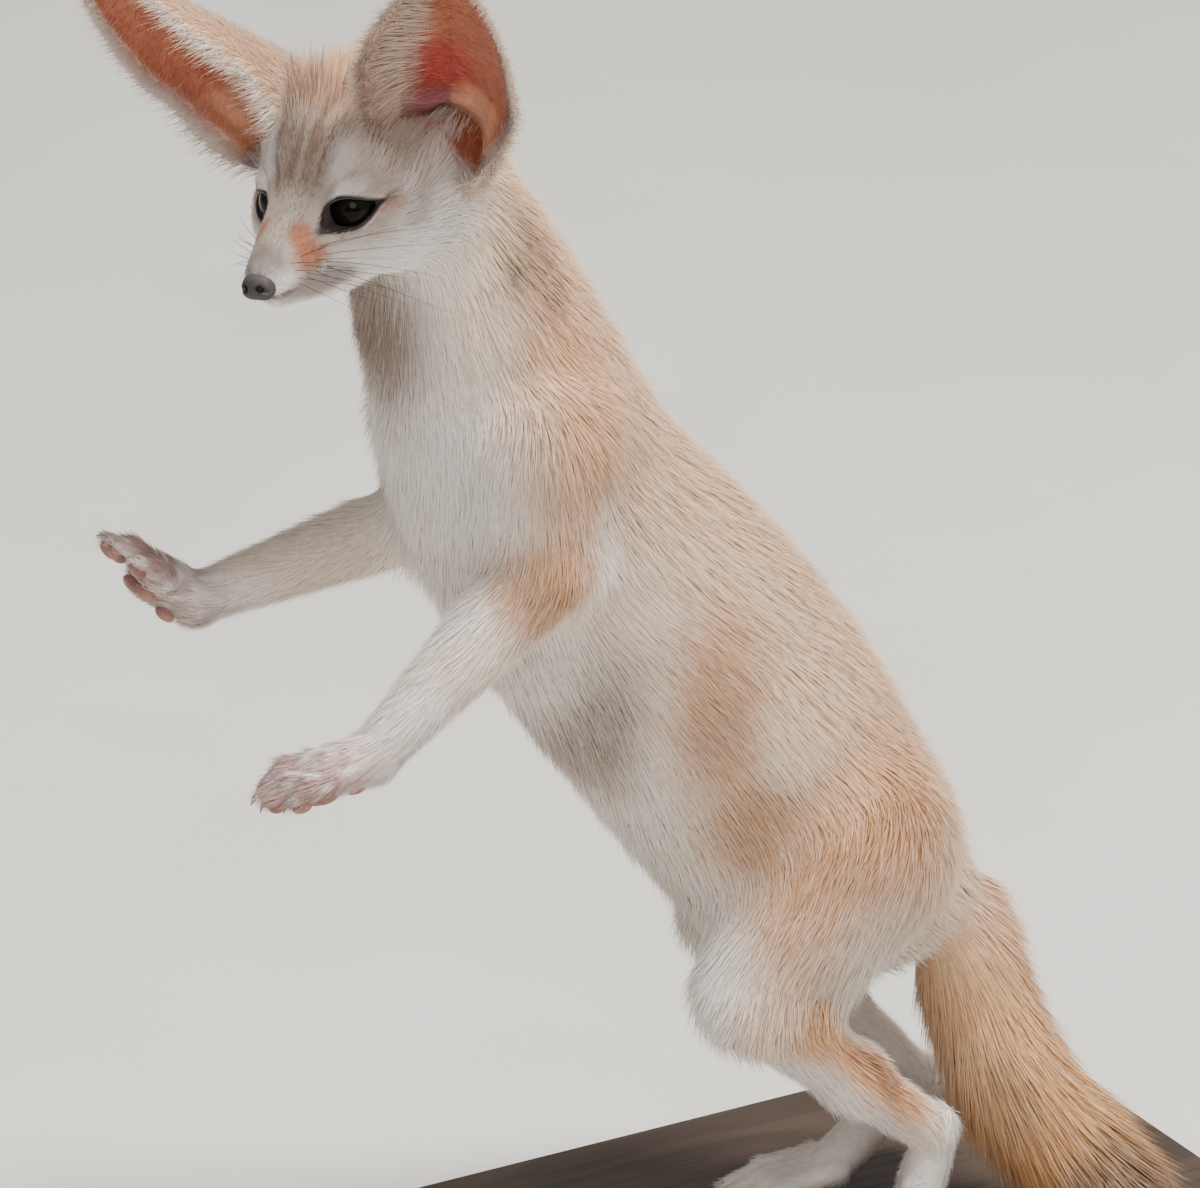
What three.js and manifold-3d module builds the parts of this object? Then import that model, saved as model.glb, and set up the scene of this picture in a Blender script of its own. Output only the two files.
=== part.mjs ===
// A fennec fox standing up on its hind legs, as a still, life-size model on a plain base.
// Millimetres, +Z up. The fox faces -Y and its left side is +X.
// The origin is the middle of the underside of the base.
import * as THREE from "three";
import Module from "manifold-3d";

const wasm = await Module();
wasm.setup();

// Driving dimensions
const GAP = 0.3; // between any two solids that meet
const BASE = { width: 200, length: 320, thick: 15, corner: 30, bevel: 1.5 };
const FLOOR = BASE.thick + GAP; // the lowest level of feet and tail
const TORSO_FLATTEN = 1.14; // depth of the trunk over its width
const EYE_RADIUS = 8;
const LID_THICK = 1.7;
const EYE_OPENING = { width: 14.6, height: 8.8, slant: 0.16 };
const EAR = { length: 86, halfWidth: 27, wall: 3.2, floor: 0.05, clear: 5, swell: 6 };
const TOE_RADIUS = 4.4;
const CLAW = { length: 6.5, radius: 1.2 };
const TAIL_LOCKS = { rows: 6, around: 5, length: 56, width: 23, thick: 4, core: 0.5 };
const CROWN_LOCKS = { rows: 3, across: 4, length: 18, width: 8, thick: 3, rise: 7.5 };
const EAR_LOCKS = { count: 6, width: 8, thick: 2 };

// Ends of each form, with the radius of flesh and coat there
const SPINE = [
  { at: [2, -124, 392], r: 29 },
  { at: [0, -107, 350], r: 38 },
  { at: [0, -84, 293], r: 46 },
  { at: [0, -54, 253], r: 50 },
  { at: [0, -22, 211], r: 51 },
  { at: [0, 8, 167], r: 47 },
  { at: [0, 34, 142], r: 34 },
];
const TAIL = [
  { at: [0, 36, 146], r: 17 },
  { at: [0, 62, 124], r: 18.5 },
  { at: [5, 71, 98], r: 20 },
  { at: [18, 76, 73], r: 22 },
  { at: [29, 86, 53], r: 22.5 },
  { at: [46, 92, 37.5], r: 21 },
  { at: [66, 88, 32], r: 15.5 },
  { at: [84, 80, 25], r: 9 },
  { at: [95, 74, 20], r: 4 },
];
const FORE_LEFT = {
  root: [
    { at: [30, -103, 326], r: 24 },
    { at: [34, -103, 292], r: 18 },
  ],
  lower: [
    { at: [36, -104, 288], r: 17 },
    { at: [38, -166, 239], r: 8.6 },
  ],
  paw: { wrist: [38, -166, 239], ball: [37, -183, 236], tip: [36, -204, 231], up: [0, 0, 1] },
};
const FORE_RIGHT = {
  root: [
    { at: [-30, -103, 318], r: 24 },
    { at: [-32, -103, 288], r: 18 },
  ],
  lower: [
    { at: [-33, -101, 283], r: 16 },
    { at: [-30, -190, 271], r: 8.4 },
  ],
  paw: { wrist: [-30, -190, 271], ball: [-30, -204, 281], tip: [-30, -220, 297], up: [0, 0.8, 0.6] },
};
const HIND_LEFT = {
  root: [
    { at: [26, 8, 170], r: 34 },
    { at: [34, -31, 130], r: 20 },
  ],
  back: [
    { at: [26, 22, 164], r: 27 },
    { at: [34, -4, 124], r: 14 },
  ],
  lower: [
    { at: [35, -26, 124], r: 18 },
    { at: [36, 6, 91], r: 11.5 },
    { at: [35, 36, 65], r: 8.2 },
  ],
  foot: { hock: [35, 40, 66], ball: [37, 27, 22.6], tip: [38, -13, 18.6], up: [0, 0, 1] },
};
const HIND_RIGHT = {
  root: [
    { at: [-26, 11, 168], r: 34 },
    { at: [-32, 2, 126], r: 19 },
  ],
  back: [
    { at: [-26, 24, 160], r: 26 },
    { at: [-32, 20, 122], r: 13 },
  ],
  lower: [
    { at: [-32, 4, 122], r: 17 },
    { at: [-31, 38, 86], r: 11 },
    { at: [-30, 72, 49], r: 7.8 },
  ],
  foot: { hock: [-30, 76, 49], ball: [-32, 40, 22.6], tip: [-32, -2, 18.6], up: [0, 0, 1] },
};

// The head's own frame: forward, left and up from the point midway between the eyes
const HEAD = frameOf([18.8, -175.6, 409.6], [0.479, -0.876, -0.045], [-0.083, -0.096, 0.991]);
const EYE = { out: 16, turn: 0.54, rise: 0.04 }; // the cornea's place and where the eye looks

// Small vector sums on plain arrays
function add(a, b, k = 1) {
  return [a[0] + b[0] * k, a[1] + b[1] * k, a[2] + b[2] * k];
}
function dot(a, b) {
  return a[0] * b[0] + a[1] * b[1] + a[2] * b[2];
}
function cross(a, b) {
  return [a[1] * b[2] - a[2] * b[1], a[2] * b[0] - a[0] * b[2], a[0] * b[1] - a[1] * b[0]];
}
function unit(a) {
  const l = Math.hypot(a[0], a[1], a[2]);
  return [a[0] / l, a[1] / l, a[2] / l];
}
function mix(a, b, t) {
  return add([a[0] * (1 - t), a[1] * (1 - t), a[2] * (1 - t)], b, t);
}
function smoothStep(from, to, x) {
  const t = Math.min(Math.max((x - from) / (to - from), 0), 1);
  return t * t * (3 - 2 * t);
}

// A right-handed frame: x points forward, z roughly up
function frameOf(origin, forward, up) {
  const x = unit(forward);
  const z = unit(add(up, x, -dot(up, x)));
  return { origin, axes: [x, cross(z, x), z] };
}
function toWorld(frame, p) {
  const [x, y, z] = frame.axes;
  return add(add(add(frame.origin, x, p[0]), y, p[1]), z, p[2]);
}
function toLocal(frame, p) {
  const q = add(p, frame.origin, -1);
  return frame.axes.map((axis) => dot(axis, q));
}

// Distance fields, negative inside
function roundCone(p, a, b, ra, rb) {
  const ba = add(b, a, -1);
  const pa = add(p, a, -1);
  const length2 = dot(ba, ba);
  const taper = ra - rb;
  const slope2 = length2 - taper * taper;
  const y = dot(pa, ba);
  const z = y - length2;
  const side = add([pa[0] * length2, pa[1] * length2, pa[2] * length2], ba, -y);
  const x2 = dot(side, side);
  const y2 = y * y * length2;
  const z2 = z * z * length2;
  const k = Math.sign(taper) * taper * taper * x2;
  if (Math.sign(z) * slope2 * z2 > k) return Math.sqrt(x2 + z2) / length2 - rb;
  if (Math.sign(y) * slope2 * y2 < k) return Math.sqrt(x2 + y2) / length2 - ra;
  return (Math.sqrt((x2 * slope2) / length2) + y * taper) / length2 - ra;
}
function ellipsoid(q, centre, radii) {
  const d = add(q, centre, -1);
  const k0 = Math.hypot(d[0] / radii[0], d[1] / radii[1], d[2] / radii[2]);
  const k1 = Math.hypot(d[0] / radii[0] ** 2, d[1] / radii[1] ** 2, d[2] / radii[2] ** 2);
  return (k0 * (k0 - 1)) / Math.max(k1, 1e-9);
}
function blend(a, b, k) {
  const h = Math.min(Math.max(0.5 + (0.5 * (b - a)) / k, 0), 1);
  return b * (1 - h) + a * h - k * h * (1 - h);
}
function chain(p, links, k = 8) {
  let d = Infinity;
  for (let i = 1; i < links.length; i++) {
    const [a, b] = [links[i - 1], links[i]];
    const link = roundCone(p, a.at, b.at, a.r, b.r);
    d = d === Infinity ? link : blend(d, link, k);
  }
  return d;
}

// Trunk and neck, narrower than deep
function trunk(p) {
  const flat = (at) => [at[0] * TORSO_FLATTEN, at[1], at[2]];
  const links = SPINE.map(({ at, r }) => ({ at: flat(at), r }));
  return chain(flat(p), links, 10) / TORSO_FLATTEN;
}

// Four toes and their pads, from the ball of the foot to the tips, with the outer two shorter
function toeLinks({ ball, tip, up }) {
  const frame = frameOf(ball, add(tip, ball, -1), up);
  const reach = Math.hypot(...add(tip, ball, -1));
  return [-1.5, -0.5, 0.5, 1.5].map((place) => {
    const short = Math.abs(place) > 1 ? 5 : 0;
    const end = reach - TOE_RADIUS - short;
    return {
      root: toWorld(frame, [0, place * 4.2, 1]),
      knuckle: toWorld(frame, [end * 0.55, place * 5.4, 2.2]),
      end: toWorld(frame, [end, place * 6, 0]),
      claw: toWorld(frame, [end + TOE_RADIUS + CLAW.length - 3, place * 6.4, -1.2]),
    };
  });
}
function toes(p, place) {
  let d = Infinity;
  for (const toe of toeLinks(place)) {
    const near = roundCone(p, toe.root, toe.knuckle, TOE_RADIUS + 0.8, TOE_RADIUS);
    const far = roundCone(p, toe.knuckle, toe.end, TOE_RADIUS, TOE_RADIUS - 0.9);
    d = Math.min(d, blend(near, far, 2));
  }
  return d;
}
function forePaw(p, { wrist, ball, tip, up }) {
  const palm = roundCone(p, wrist, ball, 9, 8.6);
  return blend(palm, toes(p, { ball, tip, up }), 2.5);
}
function hindFoot(p, { hock, ball, tip, up }) {
  const shaft = roundCone(p, hock, ball, 8, 7.8);
  return blend(shaft, toes(p, { ball, tip, up }), 2.5);
}
function foreLeg(p, leg) {
  const arm = blend(chain(p, leg.root), chain(p, leg.lower), 8);
  return blend(arm, forePaw(p, leg.paw), 3);
}
function hindLeg(p, leg) {
  const thigh = blend(chain(p, leg.root), chain(p, leg.back), 10);
  const leg2 = blend(thigh, chain(p, leg.lower), 10);
  return blend(leg2, hindFoot(p, leg.foot), 3);
}
function tailBody(p) {
  return chain(p, TAIL, 10);
}
// The flesh of the tail, which the locks grow from; it is as thick as the coat only where it leaves the rump
const TAIL_CORE = TAIL.map(({ at, r }, i) => ({ at, r: i < 2 ? r : Math.max(r * TAIL_LOCKS.core, 4) }));

// Skull, cheeks, muzzle and jaw, in the head's own frame
function headShape(p) {
  const q = toLocal(HEAD, p);
  const m = [q[0], Math.abs(q[1]), q[2]]; // both sides alike
  let d = ellipsoid(q, [-28, 0, 6], [31, 27, 28]);
  d = blend(d, ellipsoid(m, [-23, 12.5, -10], [23, 18.5, 16]), 14);
  d = blend(d, roundCone(q, [-6, 0, -5], [26, 0, -13], 16, 6.6), 9);
  d = blend(d, roundCone(q, [-12, 0, -17], [21.5, 0, -19], 13, 4.2), 4);
  d = blend(d, roundCone(m, [-38, 16, 4], [-42, 25, 2], 17, 13), 10);
  return d;
}
function body(p) {
  let d = blend(trunk(p), foreLeg(p, FORE_LEFT), 14);
  d = blend(d, foreLeg(p, FORE_RIGHT), 14);
  d = blend(d, hindLeg(p, HIND_LEFT), 14);
  d = blend(d, hindLeg(p, HIND_RIGHT), 14);
  d = blend(d, headShape(p), 12);
  return blend(d, tailBody(p), 10);
}

// Grid lines from a to b, no further apart than the step
function lines(a, b, step) {
  const n = Math.ceil((b - a) / step);
  return Array.from({ length: n + 1 }, (_, i) => a + ((b - a) * i) / n);
}
// Grid lines whose step grows evenly from one end to the other
function gradedLines(a, b, first, last) {
  const out = [a];
  while (out.at(-1) < b) {
    const t = (out.at(-1) - a) / (b - a);
    out.push(out.at(-1) + first + (last - first) * t);
  }
  return out;
}

// Moves a point along the field's slope onto its surface
function ontoSurface(field, p, rounds = 3, longest = 2) {
  let q = p;
  for (let i = 0; i < rounds; i++) {
    const f = field(q);
    const e = 0.05;
    const slope = [0, 1, 2].map((k) => {
      const ahead = [...q];
      const behind = [...q];
      ahead[k] += e;
      behind[k] -= e;
      return (field(ahead) - field(behind)) / (2 * e);
    });
    const size2 = Math.max(dot(slope, slope), 1e-6);
    const step = Math.max(-longest, Math.min(longest, (f / size2) * Math.sqrt(size2)));
    q = add(q, unit(slope), -step);
  }
  return q;
}

// Surface net: a vertex for each grid cell that the surface crosses, moved onto the surface,
// and a quad across each grid edge that it crosses. The shape ends flat where it would leave the grid.
function surfaceNet(shape, frame, grid) {
  const n = grid.map((line) => line.length);
  const ends = grid.map((line) => [
    line[0] + 0.7 * (line[1] - line[0]),
    line.at(-1) - 0.7 * (line.at(-1) - line.at(-2)),
  ]);
  const field = (p) => {
    const q = toLocal(frame, p);
    return Math.max(shape(p), ...q.map((x, k) => Math.max(ends[k][0] - x, x - ends[k][1])));
  };
  const at = (i, j, k) => toWorld(frame, [grid[0][i], grid[1][j], grid[2][k]]);
  const index = (i, j, k) => i + n[0] * (j + n[1] * k);
  const value = new Float64Array(n[0] * n[1] * n[2]);
  for (let k = 0; k < n[2]; k++)
    for (let j = 0; j < n[1]; j++)
      for (let i = 0; i < n[0]; i++) value[index(i, j, k)] = field(at(i, j, k));
  const vertexOf = new Map();
  const points = [];
  const corners = [0, 1, 2, 3, 4, 5, 6, 7].map((c) => [c & 1, (c >> 1) & 1, c >> 2]);
  for (let k = 0; k + 1 < n[2]; k++)
    for (let j = 0; j + 1 < n[1]; j++)
      for (let i = 0; i + 1 < n[0]; i++) {
        let sum = [0, 0, 0];
        let count = 0;
        for (const a of corners)
          for (let d = 0; d < 3; d++) {
            if (a[d]) continue;
            const b = [...a];
            b[d] = 1;
            const va = value[index(i + a[0], j + a[1], k + a[2])];
            const vb = value[index(i + b[0], j + b[1], k + b[2])];
            if (va < 0 === vb < 0) continue;
            const pa = at(i + a[0], j + a[1], k + a[2]);
            const pb = at(i + b[0], j + b[1], k + b[2]);
            sum = add(sum, mix(pa, pb, va / (va - vb)));
            count++;
          }
        if (!count) continue;
        vertexOf.set(index(i, j, k), points.length);
        const step = Math.min(...[0, 1, 2].map((d) => grid[d][[i, j, k][d] + 1] - grid[d][[i, j, k][d]]));
        const middle = [sum[0] / count, sum[1] / count, sum[2] / count];
        points.push(ontoSurface(field, middle, 3, step * 0.35));
      }
  const triangles = [];
  for (let d = 0; d < 3; d++) {
    const [a, b] = [(d + 1) % 3, (d + 2) % 3];
    for (let k = 0; k < n[2]; k++)
      for (let j = 0; j < n[1]; j++)
        for (let i = 0; i < n[0]; i++) {
          const c = [i, j, k];
          if (c[d] + 1 >= n[d] || c[a] < 1 || c[b] < 1 || c[a] + 1 >= n[a] || c[b] + 1 >= n[b]) continue;
          const next = [...c];
          next[d]++;
          const inside = value[index(...c)] < 0;
          if (inside === value[index(...next)] < 0) continue;
          const quad = [[1, 1], [0, 1], [0, 0], [1, 0]].map(([da, db]) => {
            const cell = [...c];
            cell[a] -= da;
            cell[b] -= db;
            return vertexOf.get(index(...cell));
          });
          if (!inside) quad.reverse();
          const [p, q, r, s] = quad.map((v) => points[v]);
          const short = Math.hypot(...add(p, r, -1)) <= Math.hypot(...add(q, s, -1));
          const [w, x, y, z] = quad;
          if (short) triangles.push([w, x, y], [w, y, z]);
          else triangles.push([w, x, z], [x, y, z]);
        }
  }
  return { points, triangles };
}

// Solids: joins and cuts
function solid({ points, triangles }) {
  const mesh = new wasm.Mesh({
    numProp: 3,
    vertProperties: new Float32Array(points.flat()),
    triVerts: new Uint32Array(triangles.flat()),
  });
  mesh.merge();
  return new wasm.Manifold(mesh);
}
function solidOf(geometry, matrix = new THREE.Matrix4()) {
  const g = (geometry.index ? geometry.toNonIndexed() : geometry.clone()).applyMatrix4(matrix);
  const at = g.getAttribute("position");
  const found = new Map();
  const points = [];
  const ids = [];
  for (let i = 0; i < at.count; i++) {
    const p = [at.getX(i), at.getY(i), at.getZ(i)];
    const key = p.map((x) => Math.round(x * 1e4)).join();
    if (!found.has(key)) {
      found.set(key, points.length);
      points.push(p);
    }
    ids.push(found.get(key));
  }
  const triangles = [];
  for (let i = 0; i < ids.length; i += 3) {
    const t = ids.slice(i, i + 3);
    if (new Set(t).size === 3) triangles.push(t);
  }
  return solid({ points, triangles });
}
function largest(shape) {
  const pieces = shape.decompose();
  return pieces.reduce((best, piece) => (piece.volume() > best.volume() ? piece : best));
}
function matrixOf(frame) {
  const axes = frame.axes.map((a) => new THREE.Vector3(...a));
  return new THREE.Matrix4().makeBasis(...axes).setPosition(...frame.origin);
}
// A block beyond a plane: from the point along the direction, as wide as asked
function blockBeyond(point, direction, width = 600, depth = 600) {
  const side = Math.abs(direction[0]) < 0.9 ? [1, 0, 0] : [0, 1, 0];
  const frame = frameOf(point, direction, side);
  const block = new THREE.BoxGeometry(depth, width, width).translate(depth / 2, 0, 0);
  return solidOf(block, matrixOf(frame));
}
// The two sides of a thin planar cut
function part(shape, point, direction, width, depth) {
  const away = direction.map((x) => -x);
  const n = unit(direction);
  return {
    ahead: shape.intersect(blockBeyond(add(point, n, GAP / 2), n, width, depth)),
    behind: shape.intersect(blockBeyond(add(point, n, -GAP / 2), away, width, depth)),
  };
}
// A mesh grown outwards by a small distance, for the far side of a curved cut
function grown({ points, triangles }, by) {
  const normals = points.map(() => [0, 0, 0]);
  for (const [a, b, c] of triangles) {
    const n = unit(cross(add(points[b], points[a], -1), add(points[c], points[a], -1)));
    for (const v of [a, b, c]) normals[v] = add(normals[v], n);
  }
  return { points: points.map((p, i) => add(p, unit(normals[i]), by)), triangles };
}
// What lies below the level that feet and tail rest at
const underFloor = blockBeyond([0, 0, FLOOR], [0, 0, -1]);

// Locks of hair: flat, tapered and bent, each given as a few points with the way out from the skin there
let seed = 7;
function random() {
  seed = (seed * 16807) % 2147483647;
  return seed / 2147483647;
}
function vary(amount) {
  return 1 + amount * (2 * random() - 1);
}
function lock(path, width, thick) {
  const points = [];
  const triangles = [];
  const last = path.length - 1;
  path.forEach(({ at, out }, i) => {
    if (i === last) {
      points.push(at);
      return;
    }
    const along = add(path[i + 1].at, path[Math.max(i - 1, 0)].at, -1);
    const frame = frameOf(at, along, out);
    const swell = Math.sin(Math.PI * (0.3 + (0.62 * i) / last));
    const [w, h] = [(width / 2) * swell, (thick / 2) * swell];
    for (const corner of [[0, w, -h], [0, 0, h], [0, -w, -h]]) points.push(toWorld(frame, corner));
  });
  for (let i = 0; i + 1 < last; i++)
    for (let k = 0; k < 3; k++) {
      const [a, b] = [3 * i + k, 3 * i + ((k + 1) % 3)];
      triangles.push([a, b, b + 3], [a, b + 3, a + 3]);
    }
  const tip = 3 * last;
  for (let k = 0; k < 3; k++) triangles.push([tip - 3 + k, tip - 3 + ((k + 1) % 3), tip]);
  triangles.push([0, 2, 1]);
  return solid({ points, triangles });
}

// Sleeves: smooth envelopes that part each leg from the trunk
const SLEEVES = {
  fore_left: [
    { at: [46, -98, 332], r: 24 },
    { at: [48, -106, 292], r: 24 },
    { at: [42, -140, 260], r: 24 },
    { at: [36, -196, 234], r: 26 },
  ],
  fore_right: [
    { at: [-46, -98, 325], r: 24 },
    { at: [-48, -108, 288], r: 24 },
    { at: [-38, -150, 276], r: 24 },
    { at: [-30, -205, 285], r: 26 },
  ],
  hind_left: [
    { at: [50, 0, 162], r: 38 },
    { at: [46, -30, 124], r: 32 },
    { at: [42, 10, 88], r: 22 },
    { at: [37, 36, 62], r: 20 },
    { at: [37, 10, 22], r: 32 },
  ],
  hind_right: [
    { at: [-50, 6, 160], r: 38 },
    { at: [-46, 4, 122], r: 32 },
    { at: [-38, 40, 84], r: 22 },
    { at: [-31, 72, 47], r: 20 },
    { at: [-32, 20, 22], r: 32 },
  ],
};
const WORLD = { origin: [0, 0, 0], axes: [[1, 0, 0], [0, 1, 0], [0, 0, 1]] };

// A box of grid lines round a chain of links
function gridRound(frame, links, step, margin = 4) {
  const low = [Infinity, Infinity, Infinity];
  const high = [-Infinity, -Infinity, -Infinity];
  for (const { at, r } of links) {
    const q = toLocal(frame, at);
    for (let k = 0; k < 3; k++) {
      low[k] = Math.min(low[k], q[k] - r - margin);
      high[k] = Math.max(high[k], q[k] + r + margin);
    }
  }
  return [0, 1, 2].map((k) => lines(low[k], high[k], Array.isArray(step) ? step[k] : step));
}
function sleeve(links) {
  const net = surfaceNet((p) => chain(p, links, 6), WORLD, gridRound(WORLD, links, 16));
  return { inner: solid(net), outer: solid(grown(net, GAP)) };
}

const sleeves = Object.fromEntries(Object.entries(SLEEVES).map(([name, links]) => [name, sleeve(links)]));

// Trunk: torso and neck
const spineFrame = frameOf([0, -30, 220], [0, 0.62, -0.785], [0, 0.785, 0.62]);
const trunkNet = surfaceNet(body, spineFrame, [
  lines(-250, 155, 20),
  lines(-75, 75, 15),
  lines(-90, 90, 15),
]);
let trunkSolid = solid(trunkNet);
for (const { outer } of Object.values(sleeves)) trunkSolid = trunkSolid.subtract(outer);
const HEAD_CUT = {
  point: toWorld(HEAD, [-36, 0, -10]),
  along: unit(add(add([0, 0, 0], HEAD.axes[0], 0.61), HEAD.axes[2], 0.79)),
};
const NECK_CUT = { point: [0, -112, 352], along: unit([0, -0.4, 0.92]) };
const TAIL_CUT = { point: [0, 54, 130], along: unit([0, 0.78, -0.62]) };
const belowHead = part(trunkSolid, HEAD_CUT.point, HEAD_CUT.along).behind;
const neckAndTorso = part(belowHead, NECK_CUT.point, NECK_CUT.along);
const neck = largest(neckAndTorso.ahead);
const rump = blockBeyond(add(TAIL_CUT.point, TAIL_CUT.along, -GAP / 2), TAIL_CUT.along, 64, 300);
const torso = largest(neckAndTorso.behind.subtract(rump));

// Tail: a core with locks in rows that overlap, each rising from the core to the full width of the coat
const tailCurve = new THREE.CatmullRomCurve3(TAIL.slice(1).map(({ at }) => new THREE.Vector3(...at)));
const TAIL_STEPS = 48;
const tailTurns = tailCurve.computeFrenetFrames(TAIL_STEPS);
function tailPlace(distance, angle, share) {
  const t = Math.min(Math.max(distance / tailCurve.getLength(), 0), 1);
  const k = Math.round(t * TAIL_STEPS);
  const a = tailTurns.normals[k].toArray();
  const b = tailTurns.binormals[k].toArray();
  const out = add(add([0, 0, 0], a, Math.cos(angle)), b, Math.sin(angle));
  const centre = tailCurve.getPointAt(t).toArray();
  const link = 1 + tailCurve.getUtoTmapping(t) * (TAIL.length - 2);
  const i = Math.min(Math.floor(link), TAIL.length - 2);
  const core = mix([TAIL_CORE[i].r, 0, 0], [TAIL_CORE[i + 1].r, 0, 0], link - i)[0];
  const coat = mix([TAIL[i].r, 0, 0], [TAIL[i + 1].r, 0, 0], link - i)[0];
  return { at: add(centre, out, core + (coat - core) * share), out };
}
function tailLocks() {
  const { rows, around, length, width, thick } = TAIL_LOCKS;
  const end = tailCurve.getLength();
  const made = [];
  for (let row = 0; row < rows; row++)
    for (let k = 0; k < around; k++) {
      const root = (end * 0.86 * row) / (rows - 1) - 6;
      const angle = (2 * Math.PI * (k + 0.5 * (row % 2) + 0.3 * (random() - 0.5))) / around;
      const reach = Math.min(length * vary(0.15), end + 2 - root);
      const turn = 0.25 * (random() - 0.5);
      const path = [
        [0, -0.45],
        [0.3, 0.42],
        [0.65, 0.82],
        [1, 0.98],
      ].map(([t, share]) => tailPlace(root + reach * t, angle + turn * t, share));
      const narrow = 1 - 0.45 * smoothStep(0.6, 1, root / end);
      made.push(lock(path, width * narrow * vary(0.12), thick * narrow));
    }
  return made;
}
const tailForm = (p) => blend(trunk(p), chain(p, TAIL_CORE, 10), 8);
const tailNet = surfaceNet(tailForm, WORLD, gridRound(WORLD, TAIL, 8));
let tail = solid(tailNet);
for (const piece of tailLocks()) tail = tail.add(piece);
tail = part(tail, TAIL_CUT.point, TAIL_CUT.along).ahead.subtract(underFloor);
for (const side of ["left", "right"]) tail = tail.subtract(sleeves["hind_" + side].outer);
const tailParts = part(largest(tail), [38, 89, 45], unit([0.75, 0.3, -0.6]));
const tailUpper = largest(tailParts.behind);
const tailTip = largest(tailParts.ahead);

// Head
const headNet = surfaceNet(body, HEAD, [
  gradedLines(-70, 42, 7.2, 3.5),
  lines(-46, 46, 5.2),
  gradedLines(-46, 48, 4.2, 6.6),
]);
let head = part(solid(headNet), HEAD_CUT.point, HEAD_CUT.along).ahead;

// Eyes, set in their sockets behind the lids
function eyeFrame(side) {
  const forward = [Math.cos(EYE.turn), side * Math.sin(EYE.turn), EYE.rise];
  const look = add(toWorld(HEAD, forward), HEAD.origin, -1);
  const cornea = toWorld(HEAD, [0, side * EYE.out, 0]);
  return frameOf(add(cornea, unit(look), -EYE_RADIUS), look, HEAD.axes[2]);
}
function ball(radius, frame, rings = 12) {
  return solidOf(new THREE.SphereGeometry(radius, rings * 2, rings), matrixOf(frame));
}
function almond(side) {
  const { width, height, slant } = EYE_OPENING;
  const shape = new THREE.Shape();
  const n = 8;
  for (let i = 0; i < 2 * n; i++) {
    const t = (i / n) * Math.PI;
    const across = (-Math.cos(t) * width) / 2;
    const lift = (Math.sin(t) * height) / 2;
    const x = across;
    const y = lift * (t < Math.PI ? 1.05 : 0.9) + across * slant * side;
    if (i) shape.lineTo(x, y);
    else shape.moveTo(x, y);
  }
  const prism = new THREE.ExtrudeGeometry(shape, { depth: 20, bevelEnabled: false }).translate(0, 0, 4.5);
  // the shape's x runs to the eye's left and its y up, and it reaches out along the look
  return prism.applyMatrix4(new THREE.Matrix4().makeBasis(
    new THREE.Vector3(0, 1, 0), new THREE.Vector3(0, 0, 1), new THREE.Vector3(1, 0, 0)));
}
const eyes = {};
for (const [name, side] of [["left", 1], ["right", -1]]) {
  const frame = eyeFrame(side);
  head = head.add(ball(EYE_RADIUS + LID_THICK, frame, 8));
  eyes[name] = { frame, side };
}
for (const { frame, side } of Object.values(eyes)) {
  head = head.subtract(ball(EYE_RADIUS + GAP, frame));
  head = head.subtract(solidOf(almond(side), matrixOf(frame)));
}
head = largest(head);

// Mouth: a groove along the lips, from corner to corner round the front of the muzzle
const LIPS = [
  [0, 16, -13],
  [9, 13, -15.2],
  [18, 9, -16.6],
  [25, 5.5, -17.4],
  [29, 0, -17.6],
];
const GROOVE = 0.9; // its half width and depth
function tube(path, radius, sides = 5) {
  const points = [];
  const triangles = [];
  path.forEach((p, i) => {
    const along = unit(add(path[Math.min(i + 1, path.length - 1)], path[Math.max(i - 1, 0)], -1));
    const frame = frameOf(p, along, HEAD.axes[2]);
    for (let k = 0; k < sides; k++) {
      const t = (2 * Math.PI * k) / sides;
      points.push(toWorld(frame, [0, radius * Math.cos(t), radius * Math.sin(t)]));
    }
  });
  for (let i = 0; i + 1 < path.length; i++)
    for (let k = 0; k < sides; k++) {
      const [a, b] = [i * sides + k, i * sides + ((k + 1) % sides)];
      triangles.push([a, b, b + sides], [a, b + sides, a + sides]);
    }
  const last = (path.length - 1) * sides;
  for (let k = 1; k + 1 < sides; k++) {
    triangles.push([0, k + 1, k], [last, last + k, last + k + 1]);
  }
  return solid({ points, triangles });
}
const lipLine = [...LIPS, ...LIPS.slice(0, -1).reverse().map(([f, l, u]) => [f, -l, u])];
const lipCurve = new THREE.CatmullRomCurve3(lipLine.map((p) => new THREE.Vector3(...toWorld(HEAD, p))));
const lipPath = lipCurve.getSpacedPoints(18).map((p) => ontoSurface(headShape, p.toArray(), 4));
head = largest(head.subtract(tube(lipPath, GROOVE)));

// Nose pad with nostrils
const NOSE = { at: [29.5, 0, -12.8], radii: [4.8, 5.6, 4.8], nostril: 1.7 };
const noseNet = surfaceNet(
  (p) => ellipsoid(toLocal(HEAD, p), NOSE.at, NOSE.radii),
  HEAD,
  [lines(23, 37, 2.4), lines(-8, 8, 2.4), lines(-20, -6, 2.4)],
);
let nose = solid(noseNet);
for (const side of [1, -1]) {
  const place = frameOf(toWorld(HEAD, [32.4, side * 3.2, -12.6]), HEAD.axes[0], HEAD.axes[2]);
  nose = nose.subtract(ball(NOSE.nostril, place, 4));
}
nose = largest(nose);
head = largest(head.subtract(solid(grown(noseNet, GAP))));

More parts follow.
